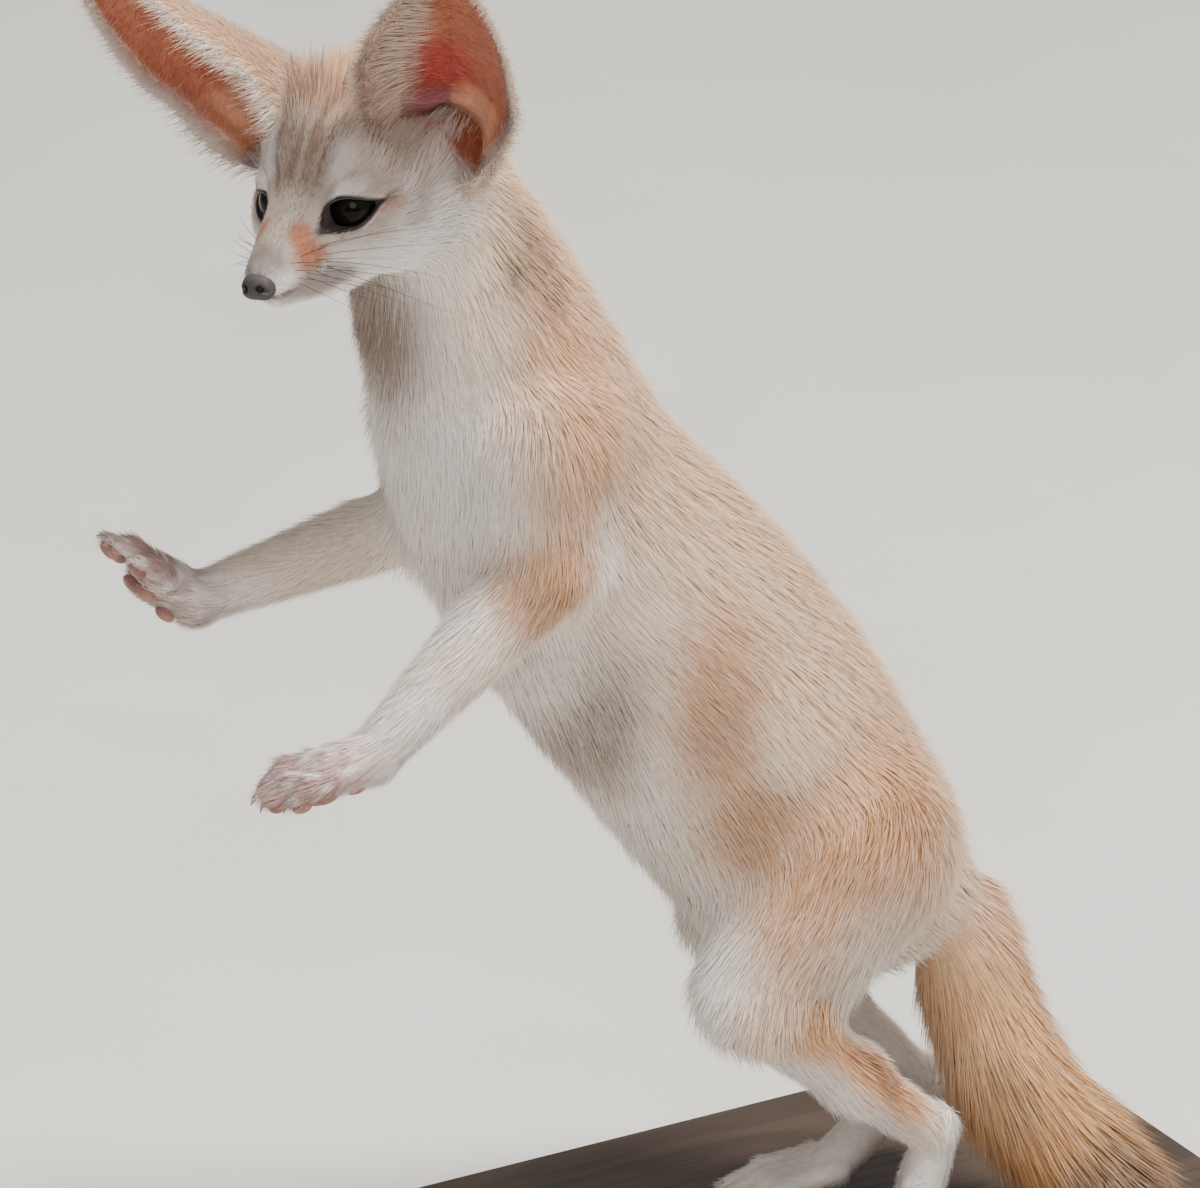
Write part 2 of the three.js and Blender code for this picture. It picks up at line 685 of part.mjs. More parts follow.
// Ears: a deep cup, open forwards and outwards, with a thin rim
function earFrame(side) {
  const up = [0.4, side * 0.45, 0.8];
  const open = [0.94, side * 0.34, 0];
  const root = toWorld(HEAD, [-32, side * 26, 9]);
  const axis = add(toWorld(HEAD, up), HEAD.origin, -1);
  const facing = add(toWorld(HEAD, open), HEAD.origin, -1);
  return frameOf(root, axis, facing); // x runs up the ear, z out of its opening
}
// A point of the cup: u runs from rim to rim and v from the root to the tip
function earPoint(u, v, inset) {
  const half = EAR.halfWidth * (0.68 + 0.32 * smoothStep(0, 0.45, v)) * (1 - v ** 2.6) ** 0.6;
  const bend = 2.1 - 0.9 * smoothStep(0, 0.4, v) - 0.35 * smoothStep(0.4, 1, v); // half angle of the arc
  const radius = half / Math.sin(Math.min(bend, Math.PI / 2));
  const angle = u * bend;
  const r = radius - inset;
  const back = -EAR.halfWidth * 0.68 * (1 - v);
  const x = EAR.length * v;
  return [x, r * Math.sin(angle), back + radius - r * Math.cos(angle)];
}
function ear(side) {
  const across = 10;
  const along = 9;
  const points = [];
  const triangles = [];
  const grid = (inset, from) => {
    const start = points.length;
    for (let j = 0; j <= along; j++)
      for (let i = 0; i <= across; i++) {
        const v = from + (0.985 - from) * (j / along);
        const u = (2 * i) / across - 1;
        const swell = EAR.swell * (1 - v) ** 1.5 * Math.cos((u * Math.PI) / 2); // fur behind the ear
        points.push(earPoint(u, v, inset ? inset * (1 - 0.55 * v) : -swell));
      }
    return (i, j) => start + i + j * (across + 1);
  };
  const outer = grid(0, 0);
  const inner = grid(EAR.wall, EAR.floor);
  const quad = (a, b, c, d) => triangles.push([a, b, c], [a, c, d]);
  for (let j = 0; j < along; j++)
    for (let i = 0; i < across; i++) {
      quad(outer(i, j), outer(i + 1, j), outer(i + 1, j + 1), outer(i, j + 1));
      quad(inner(i, j), inner(i, j + 1), inner(i + 1, j + 1), inner(i + 1, j));
    }
  for (let j = 0; j < along; j++) {
    quad(outer(0, j), outer(0, j + 1), inner(0, j + 1), inner(0, j));
    quad(outer(across, j), inner(across, j), inner(across, j + 1), outer(across, j + 1));
  }
  for (let i = 0; i < across; i++)
    quad(outer(i, along), outer(i + 1, along), inner(i + 1, along), inner(i, along));
  for (let i = 1; i + 1 <= across; i++) {
    triangles.push([outer(0, 0), outer(i + 1, 0), outer(i, 0)]);
    triangles.push([inner(0, 0), inner(i, 0), inner(i + 1, 0)]);
  }
  quad(outer(0, 0), inner(0, 0), inner(across, 0), outer(across, 0));
  const frame = earFrame(side);
  return { points: points.map((p) => toWorld(frame, p)), triangles };
}
// The room inside the cup and a little in front of it, which the head stays out of
function earHollow(side) {
  const across = 8;
  const rows = [EAR.floor, 0.3, 0.5];
  const points = [];
  const triangles = [];
  const ring = across + 3;
  for (const v of rows) {
    const arc = Array.from({ length: across + 1 }, (_, i) => earPoint((2 * i) / across - 1, v, EAR.wall / 2));
    const front = [arc.at(-1), arc[0]].map(([x, y, z]) => [x, y * 0.8, z + EAR.clear]);
    points.push(...arc, ...front);
  }
  for (let j = 0; j + 1 < rows.length; j++)
    for (let i = 0; i < ring; i++) {
      const [a, b] = [j * ring + i, j * ring + ((i + 1) % ring)];
      triangles.push([a, b, b + ring], [a, b + ring, a + ring]);
    }
  const top = (rows.length - 1) * ring;
  for (let i = 1; i + 1 < ring; i++) {
    triangles.push([0, i + 1, i], [top, top + i, top + i + 1]);
  }
  const frame = earFrame(side);
  return solid({ points: points.map((p) => toWorld(frame, p)), triangles });
}
// Long hairs from the inner margin, which lie across the cup
function earLocks(side) {
  const frame = earFrame(side);
  const { count, width, thick } = EAR_LOCKS;
  return Array.from({ length: count }, (_, i) => {
    const v = 0.2 + 0.085 * i;
    const reach = vary(0.15);
    const path = [
      [0.97, 0, 1.4],
      [0.74, 0.05, 5],
      [0.5, 0.12, 7],
      [0.5 - 0.26 * reach, 0.2, 8],
    ].map(([u, rise, inset]) => {
      const at = earPoint(side * u, v + rise, inset);
      const wall = earPoint(side * u, v + rise, 0);
      return { at: toWorld(frame, at), out: add(toWorld(frame, at), toWorld(frame, wall), -1) };
    });
    return lock(path, width * vary(0.15), thick);
  });
}
// Upright tuft on the crown, between the ears
function crownLocks() {
  const { rows, across, length, width, thick, rise } = CROWN_LOCKS;
  const made = [];
  for (let row = 0; row < rows; row++)
    for (let k = 0; k < across; k++) {
      const forward = -9 - 9 * row - 3 * (k % 2);
      const left = (k - (across - 1) / 2) * 6.4 * vary(0.1);
      const root = ontoSurface(headShape, toWorld(HEAD, [forward, left, 34]), 8, 6);
      const out = unit(add(root, toWorld(HEAD, [-28, 0, 0]), -1));
      const back = add(toWorld(HEAD, [-1, left * 0.03, 0]), HEAD.origin, -1);
      const reach = length * vary(0.2);
      const path = [
        [-0.1, -0.35],
        [0.3, 0.3],
        [0.65, 0.7],
        [1, 1],
      ].map(([t, share]) => {
        const skin = ontoSurface(headShape, add(root, back, reach * t), 8, 6);
        return { at: add(skin, out, rise * share), out };
      });
      made.push(lock(path, width * vary(0.15), thick));
    }
  return made;
}
for (const piece of crownLocks()) head = head.add(piece);
head = part(head, HEAD_CUT.point, HEAD_CUT.along).ahead;
const ears = {};
for (const [name, side] of [["left", 1], ["right", -1]]) {
  const shell = part(solid(ear(side)), HEAD_CUT.point, HEAD_CUT.along).ahead;
  head = head.subtract(earHollow(side));
  head = head.subtract(solid(grown(ear(side), 1.6 * GAP))); // its sharp rim grows less than its walls
  ears[name] = earLocks(side).reduce((whole, piece) => whole.add(piece), shell);
}
head = largest(head);
for (const name of Object.keys(ears)) ears[name] = largest(ears[name]);

// Legs: each parted from the trunk by its sleeve, and cut at the elbow and wrist or the knee and hock
function claws(shape, place) {
  let out = shape;
  for (const toe of toeLinks(place)) {
    const along = add(toe.claw, toe.end, -1);
    const frame = frameOf(toe.end, along, place.up);
    const length = Math.hypot(...along);
    const cone = new THREE.CylinderGeometry(0.25, CLAW.radius, length, 6, 1);
    cone.translate(0, length / 2, 0).rotateZ(-Math.PI / 2);
    out = out.add(solidOf(cone, matrixOf(frame)));
  }
  return out;
}
function limb(name, cuts, steps, foot) {
  const links = SLEEVES[name];
  const inside = (shape) => shape.intersect(sleeves[name].inner);
  const nets = steps.map(([from, to, step, high]) => {
    const grid = gridRound(WORLD, links.slice(from, to), step, 2);
    if (high) grid[2] = gradedLines(FLOOR - 2 * step, high, step, 1.9 * step);
    return inside(solid(surfaceNet(body, WORLD, grid))).subtract(underFloor);
  });
  const upper = largest(part(nets[0], cuts[0].point, cuts[0].along).behind);
  const beyond = part(nets[1], cuts[0].point, cuts[0].along).ahead;
  const middle = largest(part(beyond, cuts[1].point, cuts[1].along).behind);
  const end = largest(claws(part(nets[2], cuts[1].point, cuts[1].along).ahead, foot));
  return [upper, middle, end];
}
function cutAt(a, b, t) {
  return { point: mix(a, b, t), along: unit(add(b, a, -1)) };
}
function foreCuts(leg) {
  const [elbow, wrist] = leg.lower.map((link) => link.at);
  return [cutAt(elbow, wrist, 0.22), cutAt(elbow, wrist, 0.97)];
}
function hindCuts(leg) {
  const [knee, calf, hock] = leg.lower.map((link) => link.at);
  return [cutAt(knee, calf, 0.45), { point: mix(calf, hock, 0.8), along: unit([0, 0.35, -0.94]) }];
}

const legNodes = {};
const FORE_STEPS = [[0, 3, 10], [1, 4, 7.5], [2, 4, 3.8]];
const HIND_STEPS = [[0, 3, 11], [1, 4, 7.5], [3, 5, 4.3, 84]];
for (const [side, leg] of [["left", FORE_LEFT], ["right", FORE_RIGHT]]) {
  const [a, b, c] = limb("fore_" + side, foreCuts(leg), FORE_STEPS, leg.paw);
  Object.assign(legNodes, { ["upper_arm_" + side]: a, ["forearm_" + side]: b, ["forepaw_" + side]: c });
}
for (const [side, leg] of [["left", HIND_LEFT], ["right", HIND_RIGHT]]) {
  const [a, b, c] = limb("hind_" + side, hindCuts(leg), HIND_STEPS, leg.foot);
  Object.assign(legNodes, { ["thigh_" + side]: a, ["shank_" + side]: b, ["hind_foot_" + side]: c });
}

// Base
function baseGeometry() {
  const { width, length, thick, corner, bevel } = BASE;
  const [w, l, c] = [width / 2 - bevel, length / 2 - bevel, corner - bevel];
  const shape = new THREE.Shape();
  shape.moveTo(-w + c, -l);
  shape.lineTo(w - c, -l);
  shape.absarc(w - c, -l + c, c, -Math.PI / 2, 0);
  shape.lineTo(w, l - c);
  shape.absarc(w - c, l - c, c, 0, Math.PI / 2);
  shape.lineTo(-w + c, l);
  shape.absarc(-w + c, l - c, c, Math.PI / 2, Math.PI);
  shape.lineTo(-w, -l + c);
  shape.absarc(-w + c, -l + c, c, Math.PI, 1.5 * Math.PI);
  const bevels = { bevelEnabled: true, bevelThickness: bevel, bevelSize: bevel, bevelSegments: 1 };
  return new THREE.ExtrudeGeometry(shape, { depth: thick - 2 * bevel, curveSegments: 4, ...bevels })
    .translate(0, 0, bevel);
}

// Closes up the shortest edges, which the cuts leave, wherever that keeps the surface whole
function withoutSlivers(made, shortest) {
  const points = [];
  for (let i = 0; i < made.vertProperties.length; i += 3) {
    points.push([...made.vertProperties.slice(i, i + 3)]);
  }
  let triangles = [];
  for (let i = 0; i < made.triVerts.length; i += 3) triangles.push([...made.triVerts.slice(i, i + 3)]);
  const around = points.map(() => new Set());
  triangles.forEach((t, id) => t.forEach((v) => around[v].add(id)));
  const neighbours = (v) => new Set([...around[v]].flatMap((id) => triangles[id]));
  const normal = ([a, b, c]) => cross(add(points[b], points[a], -1), add(points[c], points[a], -1));
  const collapse = (a, b) => {
    const shared = [...neighbours(a)].filter((v) => v !== a && v !== b && neighbours(b).has(v));
    const kept = [...around[b]].filter((id) => !triangles[id].includes(a));
    const moved = kept.map((id) => triangles[id].map((v) => (v === b ? a : v)));
    const turns = moved.some((t, i) => dot(normal(t), normal(triangles[kept[i]])) < 0);
    if (shared.length !== 2 || turns) return;
    for (const id of around[b]) {
      if (!triangles[id].includes(a)) continue;
      for (const v of triangles[id]) if (v !== b) around[v].delete(id);
      triangles[id] = null;
    }
    kept.forEach((id, i) => {
      triangles[id] = moved[i];
      around[a].add(id);
    });
    around[b].clear();
  };
  for (let pass = 0; pass < 4; pass++)
    for (let id = 0; id < triangles.length; id++)
      for (let k = 0; k < 3 && triangles[id]; k++) {
        const [a, b] = [triangles[id][k], triangles[id][(k + 1) % 3]];
        if (Math.hypot(...add(points[a], points[b], -1)) < shortest) collapse(a, b);
      }
  const places = new Map();
  points.forEach((p, v) => {
    if (!around[v].size) return;
    const place = p.map((value) => value.toFixed(2)).join();
    if (places.has(place)) {
      const near = [...neighbours(v)].filter((w) => w !== v);
      const middle = near.reduce((sum, w) => add(sum, points[w], 1 / near.length), [0, 0, 0]);
      points[v] = mix(p, middle, 0.15);
    }
    places.set(place, v);
  });
  return { points, triangles: triangles.filter(Boolean) };
}

const COLOURS = {
  coat: { color: 0xdcc8a8, roughness: 0.9 },
  ear: { color: 0xe0b49a, roughness: 0.85 },
  eye: { color: 0x15100d, roughness: 0.08 },
  nose: { color: 0x5c5358, roughness: 0.5 },
  tail: { color: 0xcda873, roughness: 0.9 },
  base: { color: 0x3b322b, roughness: 0.45 },
};
const fox = new THREE.Group();
function node(name, shape, colour, shortest = 0.45) {
  const { points, triangles } = withoutSlivers(shape.getMesh(), shortest);
  const geometry = new THREE.BufferGeometry();
  geometry.setAttribute("position", new THREE.Float32BufferAttribute(points.flat(), 3));
  geometry.setIndex(triangles.flat());
  geometry.computeVertexNormals();
  const mesh = new THREE.Mesh(geometry, new THREE.MeshStandardMaterial({ metalness: 0, ...COLOURS[colour] }));
  mesh.name = name;
  fox.add(mesh);
}
node("stand_base", solidOf(baseGeometry()), "base");
node("torso", torso, "coat");
node("neck", neck, "coat");
node("head", head, "coat");
node("nose", nose, "nose");
for (const side of ["left", "right"]) {
  node("ear_" + side, ears[side], "ear");
  node("eye_" + side, ball(EYE_RADIUS, eyes[side].frame, 8), "eye");
}
for (const [name, shape] of Object.entries(legNodes)) node(name, shape, "coat");
node("tail_upper", tailUpper, "tail", 1.6);
node("tail_tip", tailTip, "tail", 1.6);

export default fox;
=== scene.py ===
"""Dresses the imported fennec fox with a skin, a coat of hair, ears, eyes, nose, whiskers, claws and a base."""

import math

import bpy
import numpy as np
from bpy.props import FloatProperty, FloatVectorProperty, IntProperty, PointerProperty
from mathutils import Matrix, Vector


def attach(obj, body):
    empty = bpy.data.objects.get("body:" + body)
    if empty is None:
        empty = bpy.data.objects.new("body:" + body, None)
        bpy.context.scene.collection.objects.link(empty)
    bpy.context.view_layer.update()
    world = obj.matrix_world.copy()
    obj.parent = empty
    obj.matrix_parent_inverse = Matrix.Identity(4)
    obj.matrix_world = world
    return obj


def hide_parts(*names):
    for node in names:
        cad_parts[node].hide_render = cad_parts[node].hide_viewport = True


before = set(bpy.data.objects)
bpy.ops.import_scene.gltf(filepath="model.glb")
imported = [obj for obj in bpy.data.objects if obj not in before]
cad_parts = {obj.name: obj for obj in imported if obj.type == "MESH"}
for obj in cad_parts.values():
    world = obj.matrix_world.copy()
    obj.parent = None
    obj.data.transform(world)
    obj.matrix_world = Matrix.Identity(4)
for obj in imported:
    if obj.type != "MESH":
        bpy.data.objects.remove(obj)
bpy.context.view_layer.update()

bl_info = {
    "name": "Fennec fox display model",
    "version": (1, 0, 0),
    "blender": (4, 5, 0),
    "location": "3D View > Sidebar > Fennec fox",
    "description": "Skin, coat, ears, eyes, nose, whiskers, claws and base of a standing fennec fox",
    "category": "Add Mesh",
}

MM = 0.001
BODY = "root"

# The animal's build in millimetres. The fox faces -Y, its left is +X, and the base stands on z = 0.
# Each link of a chain: x, y, z, radius to the tips of the coat, depth of the coat, length of its hair
FLOOR = 15.3
TRUNK_FLAT = 1.14
SPINE = [
    (2, -124, 392, 29, 4.0, 11),
    (0, -107, 350, 38, 5.0, 14),
    (0, -84, 293, 46, 5.0, 15),
    (0, -54, 253, 50, 4.5, 14),
    (0, -22, 211, 51, 4.5, 14),
    (0, 8, 167, 47, 4.5, 14),
    (0, 34, 142, 34, 5.0, 16),
]
TAIL = [
    (0, 36, 146, 17, 4.5, 16),
    (0, 62, 124, 18.5, 6.5, 20),
    (5, 71, 98, 20, 8.5, 25),
    (18, 76, 73, 22, 10.5, 29),
    (29, 86, 53, 22.5, 11.0, 30),
    (46, 92, 37.5, 21, 10.0, 29),
    (66, 88, 32, 15.5, 7.5, 26),
    (84, 80, 25, 9, 4.5, 20),
    (95, 74, 20, 4, 2.0, 12),
]
FORE = {
    "left": {
        "root": [(30, -103, 326, 24, 4.5, 13), (34, -103, 292, 18, 4.0, 12)],
        "lower": [(36, -104, 288, 17, 3.5, 11), (38, -166, 239, 8.6, 1.6, 6)],
        "paw": {"wrist": (38, -166, 239), "ball": (37, -183, 236), "tip": (36, -204, 231), "up": (0, 0, 1)},
    },
    "right": {
        "root": [(-30, -103, 318, 24, 4.5, 13), (-32, -103, 288, 18, 4.0, 12)],
        "lower": [(-33, -101, 283, 16, 3.5, 11), (-30, -190, 271, 8.4, 1.6, 6)],
        "paw": {
            "wrist": (-30, -190, 271), "ball": (-30, -204, 281), "tip": (-30, -220, 297), "up": (0, 0.8, 0.6),
        },
    },
}
HIND = {
    "left": {
        "root": [(26, 8, 170, 34, 4.5, 14), (34, -31, 130, 20, 4.0, 13)],
        "back": [(26, 22, 164, 27, 4.5, 14), (34, -4, 124, 14, 4.0, 13)],
        "lower": [(35, -26, 124, 18, 3.8, 12), (36, 6, 91, 11.5, 2.6, 9), (35, 36, 65, 8.2, 1.6, 7)],
        "foot": {"hock": (35, 40, 66), "ball": (37, 27, 22.6), "tip": (38, -13, 18.6), "up": (0, 0, 1)},
    },
    "right": {
        "root": [(-26, 11, 168, 34, 4.5, 14), (-32, 2, 126, 19, 4.0, 13)],
        "back": [(-26, 24, 160, 26, 4.5, 14), (-32, 20, 122, 13, 4.0, 13)],
        "lower": [(-32, 4, 122, 17, 3.8, 12), (-31, 38, 86, 11, 2.6, 9), (-30, 72, 49, 7.8, 1.6, 7)],
        "foot": {"hock": (-30, 76, 49), "ball": (-32, 40, 22.6), "tip": (-32, -2, 18.6), "up": (0, 0, 1)},
    },
}
PAW_COAT = (1.3, 5.4)  # coat depth and hair length on the feet
TOE = {"radius": 4.4, "spread": 6.0, "outer_short": 5.0}
CLAW = {"length": 4.6, "radius": 0.85}


def finer(links, steps=3):
    """The same chain with more links, on a smooth curve through the given ones."""
    rows = np.array(links, float)
    ends = np.vstack([2 * rows[0] - rows[1], rows, 2 * rows[-1] - rows[-2]])
    out = []
    for a, b, c, d in zip(ends[:-3], ends[1:-2], ends[2:-1], ends[3:]):
        for t in np.arange(steps) / steps:
            square = (2 * a - 5 * b + 4 * c - d) * t**2
            cube = (3 * b - a - 3 * c + d) * t**3
            out.append((2 * b + (c - a) * t + square + cube) / 2)
    return [*out, rows[-1]]


SPINE = finer(SPINE)
TAIL = finer(TAIL)


def unit(v):
    v = np.asarray(v, float)
    return v / np.linalg.norm(v, axis=-1, keepdims=True)


def axes_of(forward, up):
    """Rows: forward, left, up of a right-handed frame."""
    x = unit(forward)
    z = unit(np.asarray(up, float) - x * np.dot(up, x))
    return np.array([x, np.cross(z, x), z])


# The head's own frame: forward, left, up from the point midway between the eyes
HEAD_AT = np.array([18.8, -175.6, 409.6])
HEAD_AXES = axes_of((0.479, -0.876, -0.045), (-0.083, -0.096, 0.991))
EYE = {
    "radius": 8.0, "out": 16.0, "turn": 0.54, "rise": 0.04,
    "corners": (-11.2, 8.4), "corner_heights": (-3.8, 1.5), "upper": 6.1, "lower": 3.7,
}
NOSE_AT = np.array([29.5, 0, -12.8])
NOSE_RADII = np.array([4.8, 5.6, 4.8])
NOSE_SIZE = 0.87
NOSE_DROP = 1.0
LIPS = [(3, 11.0, -20.6), (10, 10.0, -19.4), (18, 7.8, -18.2), (25, 5.2, -17.8), (29, 0, -17.8)]
EAR = {"length": 86.0, "half_width": 27.0, "wall": 3.2, "clear": 5.0}


def to_head(p):
    return (p - HEAD_AT) @ HEAD_AXES.T


def from_head(q):
    return HEAD_AT + np.asarray(q, float) @ HEAD_AXES


# Distance fields over arrays of points, negative inside
def round_cone(p, a, b, ra, rb):
    """Distance to the form that a ball sweeps from a to b while its radius goes from ra to rb."""
    a, b = np.asarray(a, float), np.asarray(b, float)
    ba = b - a
    length2 = ba @ ba
    taper = ra - rb
    slope2 = length2 - taper * taper
    pa = p - a
    y = pa @ ba
    z = y - length2
    x2 = np.maximum(((pa**2).sum(1) * length2 - y * y) * length2, 0)
    y2 = y * y * length2
    z2 = z * z * length2
    k = np.sign(taper) * taper * taper * x2
    out = (np.sqrt(x2 * slope2 / length2) + y * taper) / length2 - ra
    out = np.where(np.sign(y) * slope2 * y2 < k, np.sqrt(x2 + y2) / length2 - ra, out)
    return np.where(np.sign(z) * slope2 * z2 > k, np.sqrt(x2 + z2) / length2 - rb, out)


def ellipsoid(q, centre, radii):
    d = q - np.asarray(centre, float)
    radii = np.asarray(radii, float)
    k0 = np.sqrt(((d / radii) ** 2).sum(1))
    k1 = np.sqrt(((d / radii**2) ** 2).sum(1))
    return k0 * (k0 - 1) / np.maximum(k1, 1e-9)


def blend(a, b, k):
    h = np.clip(0.5 + 0.5 * (b - a) / k, 0, 1)
    return b * (1 - h) + a * h - k * h * (1 - h)


def carve(a, b, k):
    """Takes b out of a, with a rounded edge."""
    return -blend(-a, b, k)


def link_distance(p, a, b, ra, rb):
    """As round_cone, but only roughly for points too far away to matter."""
    a, b = np.asarray(a, float), np.asarray(b, float)
    out = np.linalg.norm(p - (a + b) / 2, axis=1) - np.linalg.norm(b - a) / 2 - max(ra, rb)
    near = out < 24
    out[near] = round_cone(p[near], a, b, ra, rb)
    return out


def chain_distances(p, links):
    return [link_distance(p, a[:3], b[:3], a[3], b[3]) for a, b in zip(links[:-1], links[1:])]


def joined(distances, k):
    out = distances[0]
    for d in distances[1:]:
        out = blend(out, d, k)
    return out


def smooth(low, high, x):
    t = np.clip((x - low) / (high - low), 0, 1)
    return t * t * (3 - 2 * t)


def toe_lines(foot):
    """Root, knuckle, end and claw tip of the four toes of a foot."""
    ball, tip = np.array(foot["ball"], float), np.array(foot["tip"], float)
    axes = axes_of(tip - ball, foot["up"])
    reach = np.linalg.norm(tip - ball)
    out = []
    for place in (-1.5, -0.5, 0.5, 1.5):
        end = reach - TOE["radius"] - (TOE["outer_short"] if abs(place) > 1 else 0)
        spots = [(0, place * 4.2, 1), (end * 0.55, place * 5.4, 2.2), (end, place * TOE["spread"], 0)]
        spots.append((end + TOE["radius"] + CLAW["length"] - 3, place * 6.4, -1.6))
        out.append([ball + np.array(s, float) @ axes for s in spots])
    return out


def foot_distance(p, foot, start, start_radius, end_radius):
    """Distance to the link above the toes, and to the whole foot with them."""
    shaft = link_distance(p, foot[start], foot["ball"], start_radius, end_radius)
    middle = (np.array(foot["ball"], float) + np.array(foot["tip"], float)) / 2
    near = ((p - middle) ** 2).sum(1) < 45**2
    toes = np.full(len(p), 60.0)
    if near.any():
        q = p[near]
        best = np.full(len(q), 60.0)
        for root, knuckle, end, _ in toe_lines(foot):
            back = round_cone(q, root, knuckle, TOE["radius"] + 0.8, TOE["radius"])
            front = round_cone(q, knuckle, end, TOE["radius"], TOE["radius"] - 0.9)
            best = np.minimum(best, blend(back, front, 2))
        toes[near] = best
    return shaft, blend(shaft, toes, 2.5)


def head_distance(p):
    """The head without its ears, and only roughly for points too far away to matter."""
    out = np.linalg.norm(p - from_head((-14, 0, 0)), axis=1) - 62
    near = out < 30
    q = to_head(p[near])
    m = q.copy()
    m[:, 1] = np.abs(m[:, 1])
    d = ellipsoid(q, (-28, 0, 6), (31, 27, 28))
    d = blend(d, ellipsoid(m, (-23, 12.5, -10), (23, 18.5, 16)), 14)
    d = blend(d, round_cone(q, (-6, 0, -5), (26, 0, -13), 16, 6.6), 9)
    d = blend(d, round_cone(q, (-12, 0, -17), (21.5, 0, -19), 13, 4.2), 4)
    out[near] = blend(d, round_cone(m, (-38, 16, 4), (-42, 25, 2), 17, 13), 10)
    return out


def body_forms(p):
    """The body out to the tips of its coat, and the distance to each of its links."""
    flat = p * (TRUNK_FLAT, 1, 1)
    spine = [(x * TRUNK_FLAT, y, z, r) for x, y, z, r, _, _ in SPINE]
    trunk_links = chain_distances(flat, spine)
    parts = [d / TRUNK_FLAT for d in trunk_links]
    body = (joined(trunk_links, 2.5) - 1.2) / TRUNK_FLAT
    for side in ("left", "right"):
        leg = FORE[side]
        root, lower = chain_distances(p, leg["root"]), chain_distances(p, leg["lower"])
        paw = foot_distance(p, leg["paw"], "wrist", 9, 8.6)[1]
        body = blend(body, blend(blend(joined(root, 8), joined(lower, 8), 8), paw, 3), 14)
        parts += [*root, *lower, paw]
    for side in ("left", "right"):
        leg = HIND[side]
        root, back = chain_distances(p, leg["root"]), chain_distances(p, leg["back"])
        lower = chain_distances(p, leg["lower"])
        foot = foot_distance(p, leg["foot"], "hock", 8, 7.8)[1]
        thigh = blend(joined(root, 8), joined(back, 8), 10)
        body = blend(body, blend(blend(thigh, joined(lower, 8), 10), foot, 3), 14)
        parts += [*root, *back, *lower, foot]
    head = head_distance(p)
    tail = chain_distances(p, TAIL)
    body = blend(body, head, 12)
    body = blend(body, joined(tail, 2.0) - 1.0, 10)
    return body, np.array([*parts, *tail, head])


def link_table():
    """One row for each distance of body_forms: ends, coat at both ends, lie at both ends, and its part."""
    rows = []

    def add(links, part):
        points = np.array([link[:3] for link in links], float)
        steps = unit(np.diff(points, axis=0))
        turns = unit(np.vstack([steps[:1], steps[:-1] + steps[1:], steps[-1:]]))
        for k, (a, b) in enumerate(zip(links[:-1], links[1:])):
            rows.append((points[k], points[k + 1], a[4:6], b[4:6], turns[k], turns[k + 1], part))

    def add_foot(start, end, part):
        start, end = np.array(start, float), np.array(end, float)
        rows.append((start, end, PAW_COAT, PAW_COAT, unit(end - start), unit(end - start), part))

    add(SPINE, "trunk")
    for leg in FORE.values():
        add(leg["root"], "shoulder")
        add(leg["lower"], "forearm")
        add_foot(leg["paw"]["wrist"], leg["paw"]["tip"], "forepaw")
    for leg in HIND.values():
        add(leg["root"], "thigh")
        add(leg["back"], "thigh")
        add(leg["lower"], "shank")
        add_foot(leg["foot"]["ball"], leg["foot"]["tip"], "foot")
    add(TAIL, "tail")
    rows.append((None, None, None, None, None, None, "head"))
    return rows


LINKS = link_table()
PART_NAMES = [row[-1] for row in LINKS]


def head_coat(q):
    """Depth and length of the coat over the head, from points in the head's frame."""
    back = smooth(12, -30, q[:, 0])
    cheek = smooth(6, -14, q[:, 2]) * smooth(-2, -26, q[:, 0])
    crown = crown_share(q)
    depth = 0.7 + 1.6 * back + 1.4 * cheek + 1.2 * crown
    length = 2.6 + 4.2 * back + 4.6 * cheek + 8.5 * crown
    return depth, length


def crown_share(q):
    """1 on top of the head between the ears, where the hair is long and stands up."""
    return smooth(17, 27, q[:, 2]) * smooth(-4, -14, q[:, 0]) * smooth(26, 14, np.abs(q[:, 1]))


def link_weights(distances):
    weights = np.exp(-(distances - distances.min(0)) / 4.0)
    return weights / weights.sum(0)


def coat_depth(p, weights):
    """How deep the skin lies under the tips of the coat."""
    depth = np.zeros(len(p))
    for (a, b, coat_a, coat_b, _, _, part), w in zip(LINKS, weights):
        near = w > 0.003
        if part == "head":
            depth[near] += w[near] * head_coat(to_head(p[near]))[0]
        elif near.any():
            t = np.clip((p[near] - a) @ (b - a) / ((b - a) @ (b - a)), 0, 1)
            depth[near] += w[near] * (coat_a[0] + (coat_b[0] - coat_a[0]) * t)
    return depth


def coat_plan(p):
    """Weights of the links, coat depth, hair length, the way the coat lies and the grain along it."""
    weights = link_weights(body_forms(p)[1])
    length = np.zeros(len(p))
    lie = np.zeros((len(p), 3))
    grain = np.zeros((len(p), 3))
    for (a, b, coat_a, coat_b, turn_a, turn_b, part), w in zip(LINKS, weights):
        if part == "head":
            q = to_head(p)
            hair = head_coat(q)[1]
            away = unit(q - NOSE_AT - (2, 0, 0))
            direction = away @ HEAD_AXES
            local = (away * 40 + q * 0.12) @ HEAD_AXES
        else:
            axis = unit(b - a)
            along = (p - a) @ axis
            t = np.clip(along / np.linalg.norm(b - a), 0, 1)
            hair = coat_a[1] + (coat_b[1] - coat_a[1]) * t
            direction = unit(turn_a + (turn_b - turn_a) * t[:, None])
            local = p - a - 0.85 * along[:, None] * axis
        length += w * hair
        lie += w[:, None] * direction
        grain += w[:, None] * local
    return weights, coat_depth(p, weights), length, lie, grain


